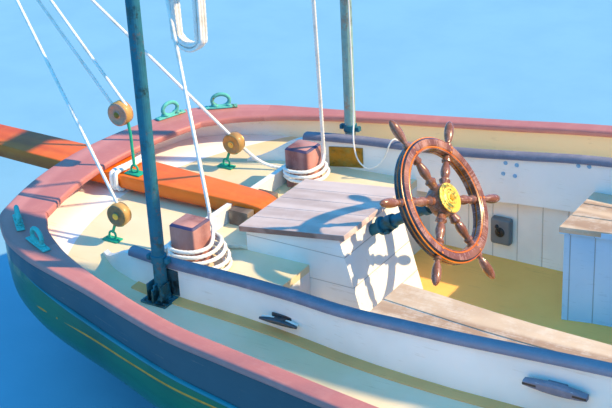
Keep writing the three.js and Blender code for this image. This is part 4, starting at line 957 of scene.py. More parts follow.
@dataclass
class Rail:
    """Inside of the bulwarks and the cap rail."""

    corner_x: float = -4.05
    bow_x: float = 4.29
    rounding: float = 0.011
    seam: float = 0.0006

    def section(self, place: float) -> list[Vector]:
        """Rounded section of the cap rail."""
        point, away = LINES.plan(place)
        out, top = LINES.cap_overhang, LINES.rail(point.x)
        low = (out - LINES.cap_width(point.x), top - LINES.cap_thick)
        return [Vector((point.x + away.x * reach, point.y + away.y * reach, z))
                for reach, z in rounded(low, (out, top), self.rounding, 4)]

    def build(self) -> None:
        """Makes the cap rail's three runs and the bulwarks' insides."""
        dress(BULWARK_PAINT, "bulwark_starboard", "bulwark_port")
        corner, bow = LINES.place_at(self.corner_x), LINES.place_at(self.bow_x)
        runs = (("taffrail", -corner, corner), ("caprail_port", corner, bow),
                ("caprail_starboard", -bow, -corner))
        for name, start, end in runs:
            form = Form().rings([self.section(p) for p in places(start + self.seam, end - self.seam, 6)])
            form.make(f"{name}_cap", RAIL_WOOD, replaced=[name])
        inner = []
        for place in places(-bow, bow, 6):
            x = LINES.plan(place)[0].x
            low, high = LINES.deck(x) - 0.002, LINES.rail(x) - LINES.cap_thick + 0.004
            shift = -LINES.bulwark - 0.0015
            inner.append([LINES.side(place, z, shift) for z in spread(low, high, 3)])
        Form().rings(inner, closed=False).make("bulwark_lining", BULWARK_PAINT)


@dataclass
class Deck:
    """Deck, the strip along the coaming's foot and the coaming's own dress."""

    board: float = 0.026
    strip: float = 0.046
    strip_run: Point = (-3.7, -1.2)
    cap_run: Point = (-3.73, -1.17)
    cap_half: float = 0.026

    def build(self) -> None:
        """Makes the deck's and the coaming's pieces."""
        dress(AFT_DECK_PAINT, "deck")
        dress(WHITE_PAINT, "coaming")
        dress(STAVED_PAINT, "cockpit_lining")
        dress(SOLE_PAINT, "cockpit_sole")
        self.strips()
        self.caps()

    def strips(self) -> None:
        """Painted strip along the coaming's foot."""
        form, wide = Form(), self.strip
        section = ((-0.002, -0.002), (-0.002, 0.007), (wide - 0.004, 0.006), (wide, 0.003), (wide, -0.002))
        for side in (-1, 1):
            rings = []
            for x in spread(*self.strip_run, 40):
                inner, z = LINES.coaming_half(x) + self.board / 2, LINES.deck(x)
                rings.append([(x, side * (inner + y), z + h) for y, h in section])
            form.rings(rings)
        form.make("coaming_foot", STRIP_PAINT)

    def caps(self) -> None:
        """Rounded caps of the coaming."""
        for side, node in ((1, "coaming_cap_port"), (-1, "coaming_cap_starboard")):
            rings = []
            for x in spread(*self.cap_run, 60):
                middle = side * LINES.coaming_half(x)
                low = LINES.coaming_top(x) - self.cap_half
                ring = []
                for a in spread(0, pi, 12):
                    wide = copysign(abs(cos(a)) ** 0.75, cos(a))
                    rise = max(0.0, sin(a)) ** 0.8
                    ring.append((x, middle + side * self.cap_half * wide, low + self.cap_half * rise))
                rings.append(ring)
            Form().rings(rings).make(f"{node}_rounded", CAP_WOOD, replaced=[node])


@dataclass
class Steering:
    """Steering box with its planked lid, the shaft's housing and the wheel."""

    centre: Point = (-2.76, 0.0, 0.891)
    tilt: float = radians(31.6)
    phase: float = radians(37.7)
    rim: Point = (0.192, 0.238)
    rim_half: float = 0.022
    spokes: int = 6
    tip: float = 0.355
    housing: float = 0.022
    clamp: float = -0.255
    lid: tuple[Point, Point] = ((-3.505, 0.24, 0.708), (-3.043, 0.228, 0.7648))
    lid_thick: float = 0.022
    lid_planks: int = 5
    lid_gap: float = 0.0018
    lid_eased: float = 0.0014

    def along(self, distance: float) -> Vector:
        """Point of the shaft's line."""
        return Vector(self.centre) + self.axis * distance

    @property
    def axis(self) -> Vector:
        """Direction of the shaft towards the helmsman."""
        return Vector((cos(self.tilt), 0, sin(self.tilt)))

    def build(self) -> None:
        """Makes every piece of the steering."""
        dress(BOX_PAINT, "steering_box")
        dress(POST_BRONZE, "shaft_housing")
        self.box_lid()
        self.bracket()
        self.wheel()
        self.hub_cap()

    def box_lid(self) -> None:
        """Planks of the lid with their gaps and painted shade on their sides, and the hinges' knuckles."""
        form = Form()
        (x0, half0, z0), (x1, half1, z1) = self.lid
        slope = atan2(z1 - z0, x1 - x0)
        turn = Matrix.Rotation(-slope, 4, "Y")
        long = hypot(x1 - x0, z1 - z0)
        thick, gap, eased = self.lid_thick / 2, self.lid_gap, self.lid_eased
        middle = Vector(((x0 + x1) / 2, 0, (z0 + z1) / 2 + thick / cos(slope)))
        ends = ((-1, eased, half0), (-1, 0.0, half0), (1, 0.0, half1), (1, eased, half1))
        for k in range(self.lid_planks):
            rings = []
            for part, inset, half in ends:
                wide = 2 * half / self.lid_planks
                low, high = -half + wide * k + gap / 2 + inset, -half + wide * (k + 1) - gap / 2 - inset
                top = thick - inset
                ring = [(low, -top), (low, top - eased), (low + eased, top), (high - eased, top),
                        (high, top - eased), (high, -top)]
                reach = part * (long / 2 - eased + inset)
                rings.append([middle + turn @ Vector((reach, y, z)) for y, z in ring])
            form.rings(rings)
        # Faces that look sideways, on the lid's edges and in its gaps, get the darker copy: painted shade.
        form.marks = [1 if abs(form.normal(face).y) > 0.8 else 0 for face in form.faces]
        for y in (-0.165, 0.165):
            form.lathe([(0, -0.026), (0.007, -0.026), (0.007, 0.026), (0, 0.026)], (-3.512, y, 0.719),
                       (0, 1, 0), 16, 2)
        form.make("box_lid_planks", [LID_WOOD, LID_SIDE_SHADE, BRONZE], "box_lid", replaced=["steering_box_lid"])

    def bracket(self) -> None:
        """Clamp and foot that hold the housing on the box, and the collar by the wheel."""
        form = Form()
        r = self.housing
        for distance, wide, grow in ((-0.075, 0.022, 0.006), (self.clamp, 0.03, 0.007),
                                     (-0.3, 0.012, 0.013)):
            form.lathe([(r - 0.002, -wide / 2), (r + grow, -wide / 2), (r + grow + 0.001, 0),
                        (r + grow, wide / 2), (r - 0.002, wide / 2)], self.along(distance), self.axis, 28)
        foot = self.along(self.clamp) - Vector((0, 0, 0.03))
        half = Vector((0.014, 0.034, 0.006))
        form.block(foot - half, foot + half, 0.003, Matrix.Rotation(-self.tilt, 4, "Y"))
        for y in (-0.026, 0.026):
            form.nut((0.006, 0.003, 0.01, 0.012), foot + Vector((0, y, 0.004)),
                     Vector((0, 1, 0)).cross(self.axis), 6)
        form.make("housing_clamps", POST_BRONZE)

    def wheel(self) -> None:
        """Rim in two layers with its inlays and painted shade on its outer side, hub and turned spokes."""
        form = Form()
        centre, axis = Vector(self.centre), self.axis
        r0, r1, h = *self.rim, self.rim_half
        step = 0.003
        profile = [(r0, -h + step), (r0 + step, -h), (r1 - step, -h), (r1, -h + step), (r1, -0.009),
                   (r1 - 0.004, -0.007), (r1 - 0.004, -0.003), (r1, -0.001), (r1, 0.008),
                   (r1 - 0.003, h - 0.004), (r1 - 0.008, h), (r0 + 0.016, h), (r0 + 0.012, h - 0.002),
                   (r0 + 0.01, h - 0.005), (r0 + 0.006, h - 0.005), (r0 + 0.004, h - 0.003),
                   (r0 + 0.001, h - 0.004), (r0, h - 0.008), (r0, 0.001), (r0 + 0.004, -0.001),
                   (r0 + 0.004, -0.006), (r0, -0.008)]
        form.lathe(profile, centre, axis, 120, closed=True)
        # The rim's outward faces get the near black copy of the wheel wood: painted shade.
        for number, face in enumerate(form.faces):
            out = form.corners[face[0]] - centre
            out -= axis * out.dot(axis)
            if out.length > r1 - 0.005 and form.normal(face).dot(out.normalized()) > 0.6:
                form.marks[number] = 2
        inlays = ((r1 - 0.0035, -0.005, 0.0022), (r1 - 0.0012, 0.013, 0.0028),
                  (r0 + 0.008, h - 0.0045, 0.0024), (r0 + 0.0035, -0.0035, 0.0022))
        for radius, height, thick in inlays:
            ring = [(radius + thick * cos(a), height + thick * sin(a))
                    for a in spread(0, 2 * pi, 8)[:-1]]
            form.lathe(ring, centre, axis, 120, 1, True)
        hub = [(0, -0.032), (0.05, -0.032), (0.058, -0.026), (0.062, -0.012), (0.062, 0.012),
               (0.058, 0.026), (0.05, 0.031), (0, 0.031)]
        form.lathe(hub, centre, axis, 40)
        outline = [(0.03, 0.015), (0.058, 0.0155), (0.074, 0.017), (0.082, 0.021), (0.087, 0.0215),
                   (0.093, 0.015), (0.098, 0.0125), (0.11, 0.0165), (0.125, 0.0185), (0.142, 0.0165),
                   (0.158, 0.0125), (0.164, 0.012), (0.169, 0.017), (0.176, 0.018), (0.182, 0.014),
                   (0.19, 0.0145), (0.24, 0.0145), (0.245, 0.0155), (0.249, 0.0155), (0.253, 0.01),
                   (0.258, 0.0095), (0.266, 0.0125), (0.285, 0.0168), (0.305, 0.0182), (0.325, 0.017),
                   (0.341, 0.0125), (0.35, 0.0072), (self.tip, 0.0)]
        first = Vector((0, -1, 0))
        second = axis.cross(first)
        for k in range(self.spokes):
            angle = self.phase + 2 * pi * k / self.spokes
            towards = first * cos(angle) + second * sin(angle)
            form.lathe([(r, d) for d, r in outline], centre, towards, 20)
            for d in (0.206, 0.226):
                spot = centre + towards * d + axis * (h - 0.001)
                form.stud((0.0045, 0.004, 0.0018, 0.002), spot, axis, 12, 1)
        form.make("wheel_turned", [WHEEL_WOOD, INLAY, WHEEL_RIM_SHADE], "wheel", 32.0, ["steering_wheel"])

    def hub_cap(self) -> None:
        """Stepped brass cap with its nut, and the shaft behind it."""
        form = Form()
        cap = [(0, 0.031), (0.0565, 0.031), (0.0575, 0.033), (0.0565, 0.0365), (0.05, 0.038),
               (0.046, 0.038), (0.044, 0.036), (0.041, 0.036), (0.039, 0.039), (0.03, 0.041),
               (0.028, 0.039), (0.024, 0.0395), (0.022, 0.043), (0.018, 0.044), (0.0, 0.044)]
        nut = [(0, 0.043), (0.0135, 0.043), (0.0135, 0.0535), (0.0115, 0.056), (0, 0.056)]
        end = [(0, 0.055), (0.0075, 0.055), (0.0075, 0.059), (0.005, 0.0625), (0, 0.064)]
        shaft = [(0, -0.43), (0.012, -0.43), (0.012, -0.03), (0.026, -0.036), (0.026, -0.0315), (0, -0.0315)]
        for profile, sides in ((cap, 56), (nut, 6), (end, 20), (shaft, 28)):
            form.lathe(profile, self.centre, self.axis, sides)
        form.make("hub_cap", BRASS, "wheel", 30.0, ["wheel_shaft"])


@dataclass
class Benches:
    """Slatted bench tops on staved fronts, and the control panel."""

    top: float = 0.685
    lip: float = 0.014
    gap: float = 0.0025
    boss: Point = (-2.865, 0.713, 0.42)

    def bench(self, name: str, side: int, rows: Sequence[Point], slats: int) -> None:
        """Slats over the CAD bench, with a rounded nosing."""
        form = Form()
        edge = smooth(rows)
        start = rows[0][0] - self.lip - 0.001
        for k in range(slats):
            rings = []
            for x in spread(start, -1.172, 12):
                low, high = edge(max(x, rows[0][0])) - self.lip - 0.001, LINES.coaming_half(x) - 0.016
                a = low + (high - low) * k / slats + self.gap * (k > 0)
                b = low + (high - low) * (k + 1) / slats - self.gap * (k < slats - 1)
                ring = [(x, side * y, z) for y, z in
                        ((a, self.top - 0.018), (a, self.top + 0.001), (a + 0.002, self.top + 0.004),
                         (b - 0.002, self.top + 0.004), (b, self.top + 0.001), (b, self.top - 0.018))]
                rings.append(ring)
            form.rings(rings)
        form.make(name, SLAT_WOOD)

    def build(self) -> None:
        """Makes the benches, then the panel."""
        # Light blue on the benches' staved fronts: painted shade.
        dress(BENCH_SHADE_BLUE_PAINT, "bench_port", "bench_starboard")
        self.bench("bench_slats_port", 1, [(-2.446, 0.382), (-2.2, 0.425), (-1.17, 0.43)], 3)
        self.bench("bench_slats_starboard", -1, [(-2.762, 0.299), (-2.2, 0.35), (-1.17, 0.375)], 3)
        self.panel()

    def panel(self) -> None:
        """Face, boss and lever of the control panel."""
        form = Form()
        form.block((-2.911, 0.713, 0.36), (-2.819, 0.7495, 0.48), 0.012, steps=4)
        form.nut((0.021, 0.017, 0.004, 0.007), self.boss, (0, -1, 0), 28, 1)
        form.tube([(-2.865, 0.708, 0.42), (-2.866, 0.694, 0.43), (-2.868, 0.688, 0.452)], 0.0045, 12, 1)
        form.ball((-2.868, 0.687, 0.457), 0.009, mark=1)
        form.make("control_panel_face", [PANEL_GREY, DARK_KNOB_AND_SLOT_SHADE], replaced=["control_panel"])


@dataclass
class SternGear:
    """Boomkin, bitts, gallows, fairleads, cleats and what is bolted to the coaming."""

    bitt: Point = (-3.614, 0.396)
    bitt_half: float = 0.056
    bitt_top: float = 0.797
    post: Point = (-3.548, 0.672)
    post_r: float = 0.024
    boomkin_y: float = 0.05
    boomkin_ends: Point = (-6.15, -3.532)
    boomkin_thick: float = 0.06
    boomkin_half: Curve = smooth([(-6.15, 0.055), (-5.2, 0.088), (-4.45, 0.097), (-3.7, 0.07),
                                  (-3.532, 0.062)])
    leads: tuple[Point, ...] = ((-4.386, 0.508), (-4.237, 0.69), (-4.253, -0.636), (-4.061, -0.742))
    board_half: float = 0.013
    horn_cleat: Point = (-3.024, 0.679)
    wooden_cleat: Point = (-1.989, 0.759)
    inner_bolts: tuple[Point, ...] = ((-2.829, 0.755), (-2.783, 0.751), (-2.838, 0.707), (-2.79, 0.703),
                                      (-2.531, 0.788), (-2.487, 0.792))

    def boomkin_top(self, x: float) -> float:
        """Height of the boomkin's top."""
        return 0.7015 + (self.boomkin_ends[1] - x) * 0.0176

    def build(self) -> None:
        """Makes every fitting of the stern."""
        dress(CHOCK_WOOD, "boomkin_chock")
        # Lit and shaded copies of one patina: the port post's light grey copy is painted light, the
        # starboard post's dark teal is painted shade.
        dress(PORT_POST_LIT, "gallows_post_port")
        dress(POST_BRONZE, "gallows_post_starboard")
        dress(VARNISH, "gallows_beam")
        self.boomkin()
        self.bitts()
        self.post_feet()
        self.fairleads()
        self.cleats()
        self.backing()
        self.eye()

    def boomkin(self) -> None:
        """Varnished boomkin with a rounded heel and its two tenon tips."""
        form, rings = Form(), []
        y, r = self.boomkin_y, 0.007
        for x in [*spread(self.boomkin_ends[0], -3.632, 24), *spread(-3.624, self.boomkin_ends[1], 10)]:
            t = max(0.0, (x + 3.632) / 0.1)
            half = self.boomkin_half(x) * (1 - 0.25 * t * t)
            top = self.boomkin_top(x) - 0.034 * (1 - sqrt(max(0.0, 1 - t * t)))
            low = self.boomkin_top(x) - self.boomkin_thick
            rings.append([(x, *spot) for spot in rounded((y - half, low), (y + half, top), r, 3)])
        form.rings(rings)
        for offset in (-0.03, 0.026):
            form.block((-3.546, y + offset - 0.013, 0.65), (-3.516, y + offset + 0.013, 0.676), 0.006)
        form.make("boomkin_bevelled", BOOMKIN_WOOD, replaced=["boomkin"])
        strop = Form()
        for k in range(2):
            x = -4.275 + 0.022 * k
            half, top = self.boomkin_half(x) + 0.011, self.boomkin_top(x) + 0.0105
            low = top - self.boomkin_thick - 0.017
            loop = [(x, y - half, low + 0.02), (x, y - half, top - 0.015), (x, y - half + 0.018, top),
                    (x + 0.012, y, top + 0.0005), (x + 0.014, y + half - 0.018, top),
                    (x + 0.016, y + half, top - 0.015), (x + 0.018, y + half, low + 0.02),
                    (x + 0.016, y + half - 0.018, low), (x + 0.01, y, low),
                    (x + 0.006, y - half + 0.018, low), (x + 0.001, y - half, low + 0.019)]
            strop.rope(loop, 0.01)
        strop.make("boomkin_strop", ROPE)

    def bitts(self) -> None:
        """Square bitts with eased tops, their chamfers in dark blue as painted shade and sky reflection."""
        x, y = self.bitt
        top = self.bitt_top
        for side, name in ((1, "bitt_port"), (-1, "bitt_starboard")):
            form, rings = Form(), []
            for z, slim in ((0.612, 0), (0.7, 0), (top - 0.009, 0), (top - 0.003, 0.005), (top, 0.009)):
                half = self.bitt_half - slim
                ring = rounded((x - half, side * y - half), (x + half, side * y + half), 0.007, 3)
                rings.append([(*spot, z) for spot in reversed(ring)])
            form.rings(rings)
            # Tilted faces of the eased top get the dark blue copy: painted shade and sky reflection.
            form.marks = [1 if 0.25 < form.normal(face).z < 0.95 else 0 for face in form.faces]
            form.make(f"{name}_eased", [BITT_WOOD, BITT_CHAMFER_SHADE], replaced=[name])

    def post_feet(self) -> None:
        """Collars, gussets, plates and bolts at the gallows posts."""
        x, y = self.post
        r, deck = self.post_r, LINES.deck(self.post[0])
        form, plate = Form(), Form()
        for side in (-1, 1):
            at = side * y
            form.lathe([(r, 0.0), (r + 0.012, 0.0), (r + 0.012, 0.006), (r + 0.004, 0.016), (r, 0.018)],
                       (x, at, deck + 0.008), UP, 28)
            for dx in (-0.03, 0.0, 0.03):
                form.flank(side, (x + dx - 0.003, x + dx + 0.003), (y - 0.01, y + 0.046),
                           (deck + 0.006, deck + 0.075), 0.002)
            for dx in (-0.045, 0.045):
                for dy in (-0.012, 0.048):
                    form.nut((0.006, 0.003, 0.005, 0.007), (x + dx, at + side * dy, deck + 0.009), UP, 6)
            form.lathe([(r, -0.016), (r + 0.005, -0.014), (r + 0.005, 0.014), (r, 0.016)], (x, at, 0.785),
                       UP, 28)
            for dx in (-0.04, 0.04):
                form.block((x + dx - 0.008, at - 0.012, 0.7735), (x + dx + 0.008, at + 0.012, 0.7935), 0.003)
            face = LINES.coaming_half(x) + 0.0135
            plate.flank(side, (x - 0.055, x + 0.058), (face, face + 0.006), (deck + 0.01, deck + 0.11),
                        0.002)
        form.make("post_feet", POST_BRONZE)
        plate.make("post_plates", DARK_PLATE)

    def fairleads(self) -> None:
        """Ring fairleads with horns on bolted feet."""
        names = ("fairlead_port_aft", "fairlead_port_fore", "fairlead_starboard_aft",
                 "fairlead_starboard_fore")
        for name, (x, y) in zip(names, self.leads):
            low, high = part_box(name)
            middle = (low + high) / 2
            side = copysign(1, y)
            spot = Vector((x, y))
            nearest = min(spread(0, WHOLE, WHOLE * 8), key=lambda p: (LINES.plan(side * p)[0] - spot).length)
            away = LINES.plan(side * nearest)[1]
            form = Form()
            spin = Matrix.Rotation(atan2(away.y, away.x) + pi / 2, 4, "Z")
            base = Vector((middle.x, middle.y, LINES.rail(x) + 0.0005))
            form.tube([base + spin @ Vector(p) for p in hoop((0, 0, 0.036), 0.039, 0.029, 28)], 0.0088, 14)
            form.block(base - Vector((0.074, 0.0165, 0)), base + Vector((0.074, 0.0165, 0.0095)), 0.0045,
                       spin, steps=3)
            for sx in (-1, 1):
                form.ball(base + spin @ Vector((sx * 0.03, 0, 0.012)), 0.012, (1.6, 1.0, 0.8))
                form.stud((0.0055, 0.005, 0.003, 0.004), base + spin @ Vector((sx * 0.058, 0, 0.009)), UP)
            form.make(f"{name}_ring", VERDIGRIS, replaced=[name])

    def cleats(self) -> None:
        """Horn cleats and wooden cleats on the coaming's outside, the wooden ones with painted shade for
        their slots.
        """
        iron, wood = Form(), Form()
        section = ((0.0125, -1), (0.0125, 1), (0.029, 1), (0.0345, 0.6), (0.0345, -0.6), (0.029, -1))
        for side in (-1, 1):
            (x, z), reach, thick = self.horn_cleat, 0.075, 0.01
            face, steps = LINES.coaming_half(x) + self.board_half, spread(-1, 1, 12)
            path = [(x + reach * s, side * (face + 0.026 + 0.006 * s * s), z) for s in steps]
            iron.tube(path, [thick * (0.45 + 0.62 * (1 - abs(s) ** 2.2)) for s in steps], 14)
            iron.flank(side, (x - reach * 0.32, x + reach * 0.32), (face - 0.001, face + 0.026),
                       (z - thick, z + thick), 0.004)
            iron.flank(side, (x - 0.042, x + 0.042), (face - 0.001, face + 0.006), (z - 0.016, z + 0.016),
                       0.003)
            (x, z), reach = self.wooden_cleat, 0.102
            face, rings = LINES.coaming_half(x) + self.board_half, []
            for s in spread(-1, 1, 16):
                half = 0.0175 - 0.0085 * s * s
                rings.append([(x + reach * s, side * (face + out), z + up * half) for out, up in section])
            wood.rings(rings)
            wood.flank(side, (x - 0.032, x + 0.032), (face - 0.001, face + 0.0145),
                       (z - 0.0145, z + 0.0145), 0.003)
            # Thin dark strips on the ends of the wooden cleats stand for their slots: painted shade.
            for ends in ((x - reach - 0.0006, x - 0.058), (x + 0.058, x + reach + 0.0006)):
                wood.flank(side, ends, (face + 0.033, face + 0.0351), (z - 0.0035, z + 0.0035), 0.0, 1)
        iron.make("horn_cleats", IRON)
        wood.make("wooden_cleats", [CAP_WOOD, DARK_KNOB_AND_SLOT_SHADE])

    def backing(self) -> None:
        """Plates and bolt heads on the coaming's inside."""
        plates, dots = Form(), Form()
        aft, low, high, rise = -3.616, 0.62, 0.71, 0.1
        for side in (-1, 1):
            rings = []
            for x in spread(aft, -3.458, 8):
                face, lift = LINES.coaming_half(x) - 0.0135, (x - aft) * rise
                rings.append([(x, side * y, z + lift) for y, z in
                              ((face, low), (face - 0.005, low), (face - 0.005, high), (face, high))])
            plates.rings(rings)
            for x in (-3.594, -3.48):
                for z in (low + 0.022, high - 0.022):
                    spot = (x, side * (LINES.coaming_half(x) - 0.018), z + (x - aft) * rise)
                    plates.nut((0.0075, 0.004, 0.003, 0.005), spot, (0, -side, 0))
            for x, z in self.inner_bolts:
                spot = (x, side * (LINES.coaming_half(x) - self.board_half), z)
                dots.stud((0.0095, 0.008, 0.0022, 0.003), spot, (0, -side, 0), 16)
        plates.make("backing_plates", BRONZE)
        dots.make("coaming_bolts", BOLT_BLUE)

    def eye(self) -> None:
        """Small eye on the coaming cap where the thin line ends."""
        x = -3.275
        spot = (x, LINES.coaming_half(x), LINES.coaming_top(x) + 0.01)
        Form().tube(hoop(spot, 0.011, 0.011, 20), 0.003, 10).make("cap_eyes", BRONZE)


@dataclass
class Ropes:
    """Ropes on the bitts, the hung coil, the thin line and the falls."""

    radius: float = 0.008
    thin: float = 0.0035
    part: float = 0.007
    boom_end: Point = (-4.975, 0.0, 1.888)
    boom_under: float = 1.915
    near: Point = (-3.614, -0.396)
    far: Point = (-3.614, 0.396)
    near_foot: Point = (-3.6, -0.288, 0.79)
    far_foot: Point = (-3.543, 0.445, 0.757)
    near_top: Point = (-4.025, 0.035)
    far_top: Point = (-3.315, 0.05)
    near_lead: tuple[Point, ...] = ((0.012, 0.109, 0.768), (0.02, 0.105, 0.745), (0.036, 0.094, 0.727))
    far_lead: tuple[Point, ...] = ((0.073, 0.042, 0.741), (0.078, 0.028, 0.727))
    near_turns: tuple[Point, ...] = (
        (0.084, 0.718, 0.104, 0.088), (0.104, 0.702, 0.112, 0.098), (0.124, 0.684, 0.108, 0.108),
        (0.146, 0.663, 0.1, 0.114), (0.163, 0.632, 0.092, 0.11), (0.132, 0.6295, 0.086, 0.1),
        (0.112, 0.6295, 0.084, 0.096))
    far_turns: tuple[Point, ...] = (
        (0.076, 0.7205, 0.084, 0.084), (0.088, 0.7, 0.088, 0.092), (0.102, 0.676, 0.092, 0.09),
        (0.094, 0.655, 0.088, 0.086))
    coil_middle: Point = (-3.825, -0.03)
    coil_heights: Point = (1.323, 1.917)
    coil_half: float = 0.072
    step: float = 0.005
    corners: int = 8
    coil_steps: int = 36
    line_route: tuple[Point, ...] = (
        (-3.528, 0.65, 1.8097), (-3.525, 0.65, 1.65), (-3.521, 0.65, 1.35), (-3.517, 0.649, 1.08),
        (-3.513, 0.646, 0.91), (-3.507, 0.632, 0.824), (-3.496, 0.609, 0.792), (-3.486, 0.594, 0.745),
        (-3.474, 0.59, 0.7), (-3.456, 0.588, 0.672), (-3.43, 0.586, 0.657), (-3.404, 0.586, 0.656),
        (-3.374, 0.586, 0.672), (-3.348, 0.587, 0.7), (-3.326, 0.59, 0.745), (-3.311, 0.596, 0.786),
        (-3.3, 0.609, 0.799), (-3.294, 0.624, 0.791))

    def wound(self, bitt: Point, foot: Point, lead: Sequence[Point], turns: Sequence[Point],
              last: float) -> list[Vector]:
        """Route of a rope round a bitt.

        Args:
            bitt: middle of the bitt in plan.
            foot: where the rope comes down to it.
            lead: points from the foot to the first turn, from the bitt's middle.
            turns: each turn's reach forward, height there, reach to port and reach to starboard.
            last: part of the last turn that is made.

        Returns:
            Points at equal steps.
        """
        knots = [Vector(foot)] + [Vector((bitt[0] + x, bitt[1] + y, z)) for x, y, z in lead]
        high, drop = 0.7215, 0.0172
        count = len(turns) - 1
        for step in range(self.corners * count):
            k, corner = step / self.corners, step % self.corners
            if step < 2 or k > count - 1 + last:
                continue
            now, after = turns[int(k)], turns[int(k) + 1]
            reach, low, port, starboard = (a + (b - a) * (k % 1) for a, b in zip(now, after))
            aft = max(0.63, high - drop * k * 5 / max(5, count))
            side = (aft + low) / 2
            x = (0.0, 0.74 * reach, reach, 0.74 * reach, 0.0, -0.05, -0.066, -0.05)[corner]
            y = (port, port * 0.76, 0.0, -0.76 * starboard, -starboard, -0.07, 0.0, 0.07)[corner]
            z = (side, (side + low) / 2, low, (side + low) / 2, side, aft, aft, aft)[corner]
            knots.append(Vector((bitt[0] + x, bitt[1] + y, z)))
        return route(knots, self.step)

    def laid(self, name: str, path: Sequence[Vector], radius: float, body: str, node: str) -> None:
        """Makes a cord on its route, in place of a CAD node."""
        form = Form().tube(path, radius, ROPE_SIDES, 0, STRANDS, radius * STRAND_LAY)
        made = form.make(name, ROPE, body, replaced=[node])
        length = sum((b - a).length for a, b in zip(path, path[1:]))

    def build(self) -> None:
        """Makes every rope."""
        near = self.wound(self.near, self.near_foot, self.near_lead, self.near_turns, 0.8)
        far = self.wound(self.far, self.far_foot, self.far_lead, self.far_turns, 0.7)
        self.laid("rope_on_near_bitt", near, self.radius, "root", "hank_starboard")
        self.laid("rope_on_far_bitt", far, self.radius, "root", "hank_port")
        end = (-3.289, LINES.coaming_half(-3.289), LINES.coaming_top(-3.289) + self.thin + 0.0003)
        self.laid("thin_line", route([*self.line_route, end], 0.004), self.thin, "root", "hung_line")
        self.laid("hung_coil", self.coil(), self.radius, "boom", "sheet_coil")
        self.falls()

    def coil(self) -> list[Vector]:
        """Route of the coil that hangs under the boom, one layer of turns inside another."""
        x, y = self.coil_middle
        low, high = self.coil_heights
        pitch, turns, swap = 0.0166, 3.0, 0.35
        knots = []
        total = 2 * turns + swap
        for step in range(int(total * self.coil_steps)):
            k = step / self.coil_steps
            inner = max(0.0, min(1.0, (k - turns) / swap))
            across_by = min(k, turns) - max(0.0, k - turns - swap)
            half = self.coil_half - inner * pitch
            angle = 2 * pi * k
            straight = (high - low) / 2 - self.coil_half
            rise = cos(angle)
            lift = copysign(straight, rise) * min(1, abs(rise) * 3) + half * rise
            aside = pitch * (across_by - turns / 2)
            knots.append(Vector((x + half * sin(angle), y + aside, (low + high) / 2 + lift)))
        return route(knots, self.step)

    def falls(self) -> None:
        """Taut parts from the deck to the boom."""
        top = self.boom_end
        parts = {
            "sheet_near": ((-3.972, -0.38, 0.785), (top[0] + 0.02, -0.018, top[2]), self.part),
            "sheet_far": ((-3.972, 0.38, 0.785), (top[0] + 0.034, 0.018, top[2]), self.part),
            "sheet_middle_aft": ((-4.268, -0.006, 1.01), (top[0] - 0.03, -0.006, top[2]), self.part),
            "sheet_middle_fore": ((-4.205, 0.006, 1.01), (top[0] + 0.03, 0.006, top[2]), self.part),
            "near_fall": (self.near_foot, (*self.near_top, self.boom_under), self.radius),
            "far_fall": (self.far_foot, (*self.far_top, self.boom_under), self.radius)}
        for name, (foot, head, radius) in parts.items():
            form = Form().rope([foot, (Vector(foot) + Vector(head)) / 2, head], radius)
            piece = form.make(name, ROPE, None)
            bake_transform(piece)
        Form().rope([(-3.945, 0.405, 0.735), (-3.86, 0.44, 0.655), (-3.77, 0.47, 0.63),
                     (-3.72, 0.473, 0.634), (-3.69, 0.47, 0.706), (-3.655, 0.466, 0.706)],
                     self.radius).make("far_tail", ROPE)
        Form().rope([(-3.585, -0.29, 0.64), (-3.545, -0.235, 0.63), (-3.5, -0.215, 0.63),
                     (-3.493, -0.218, 0.63)], self.radius).make("near_tail", OLD_ROPE)


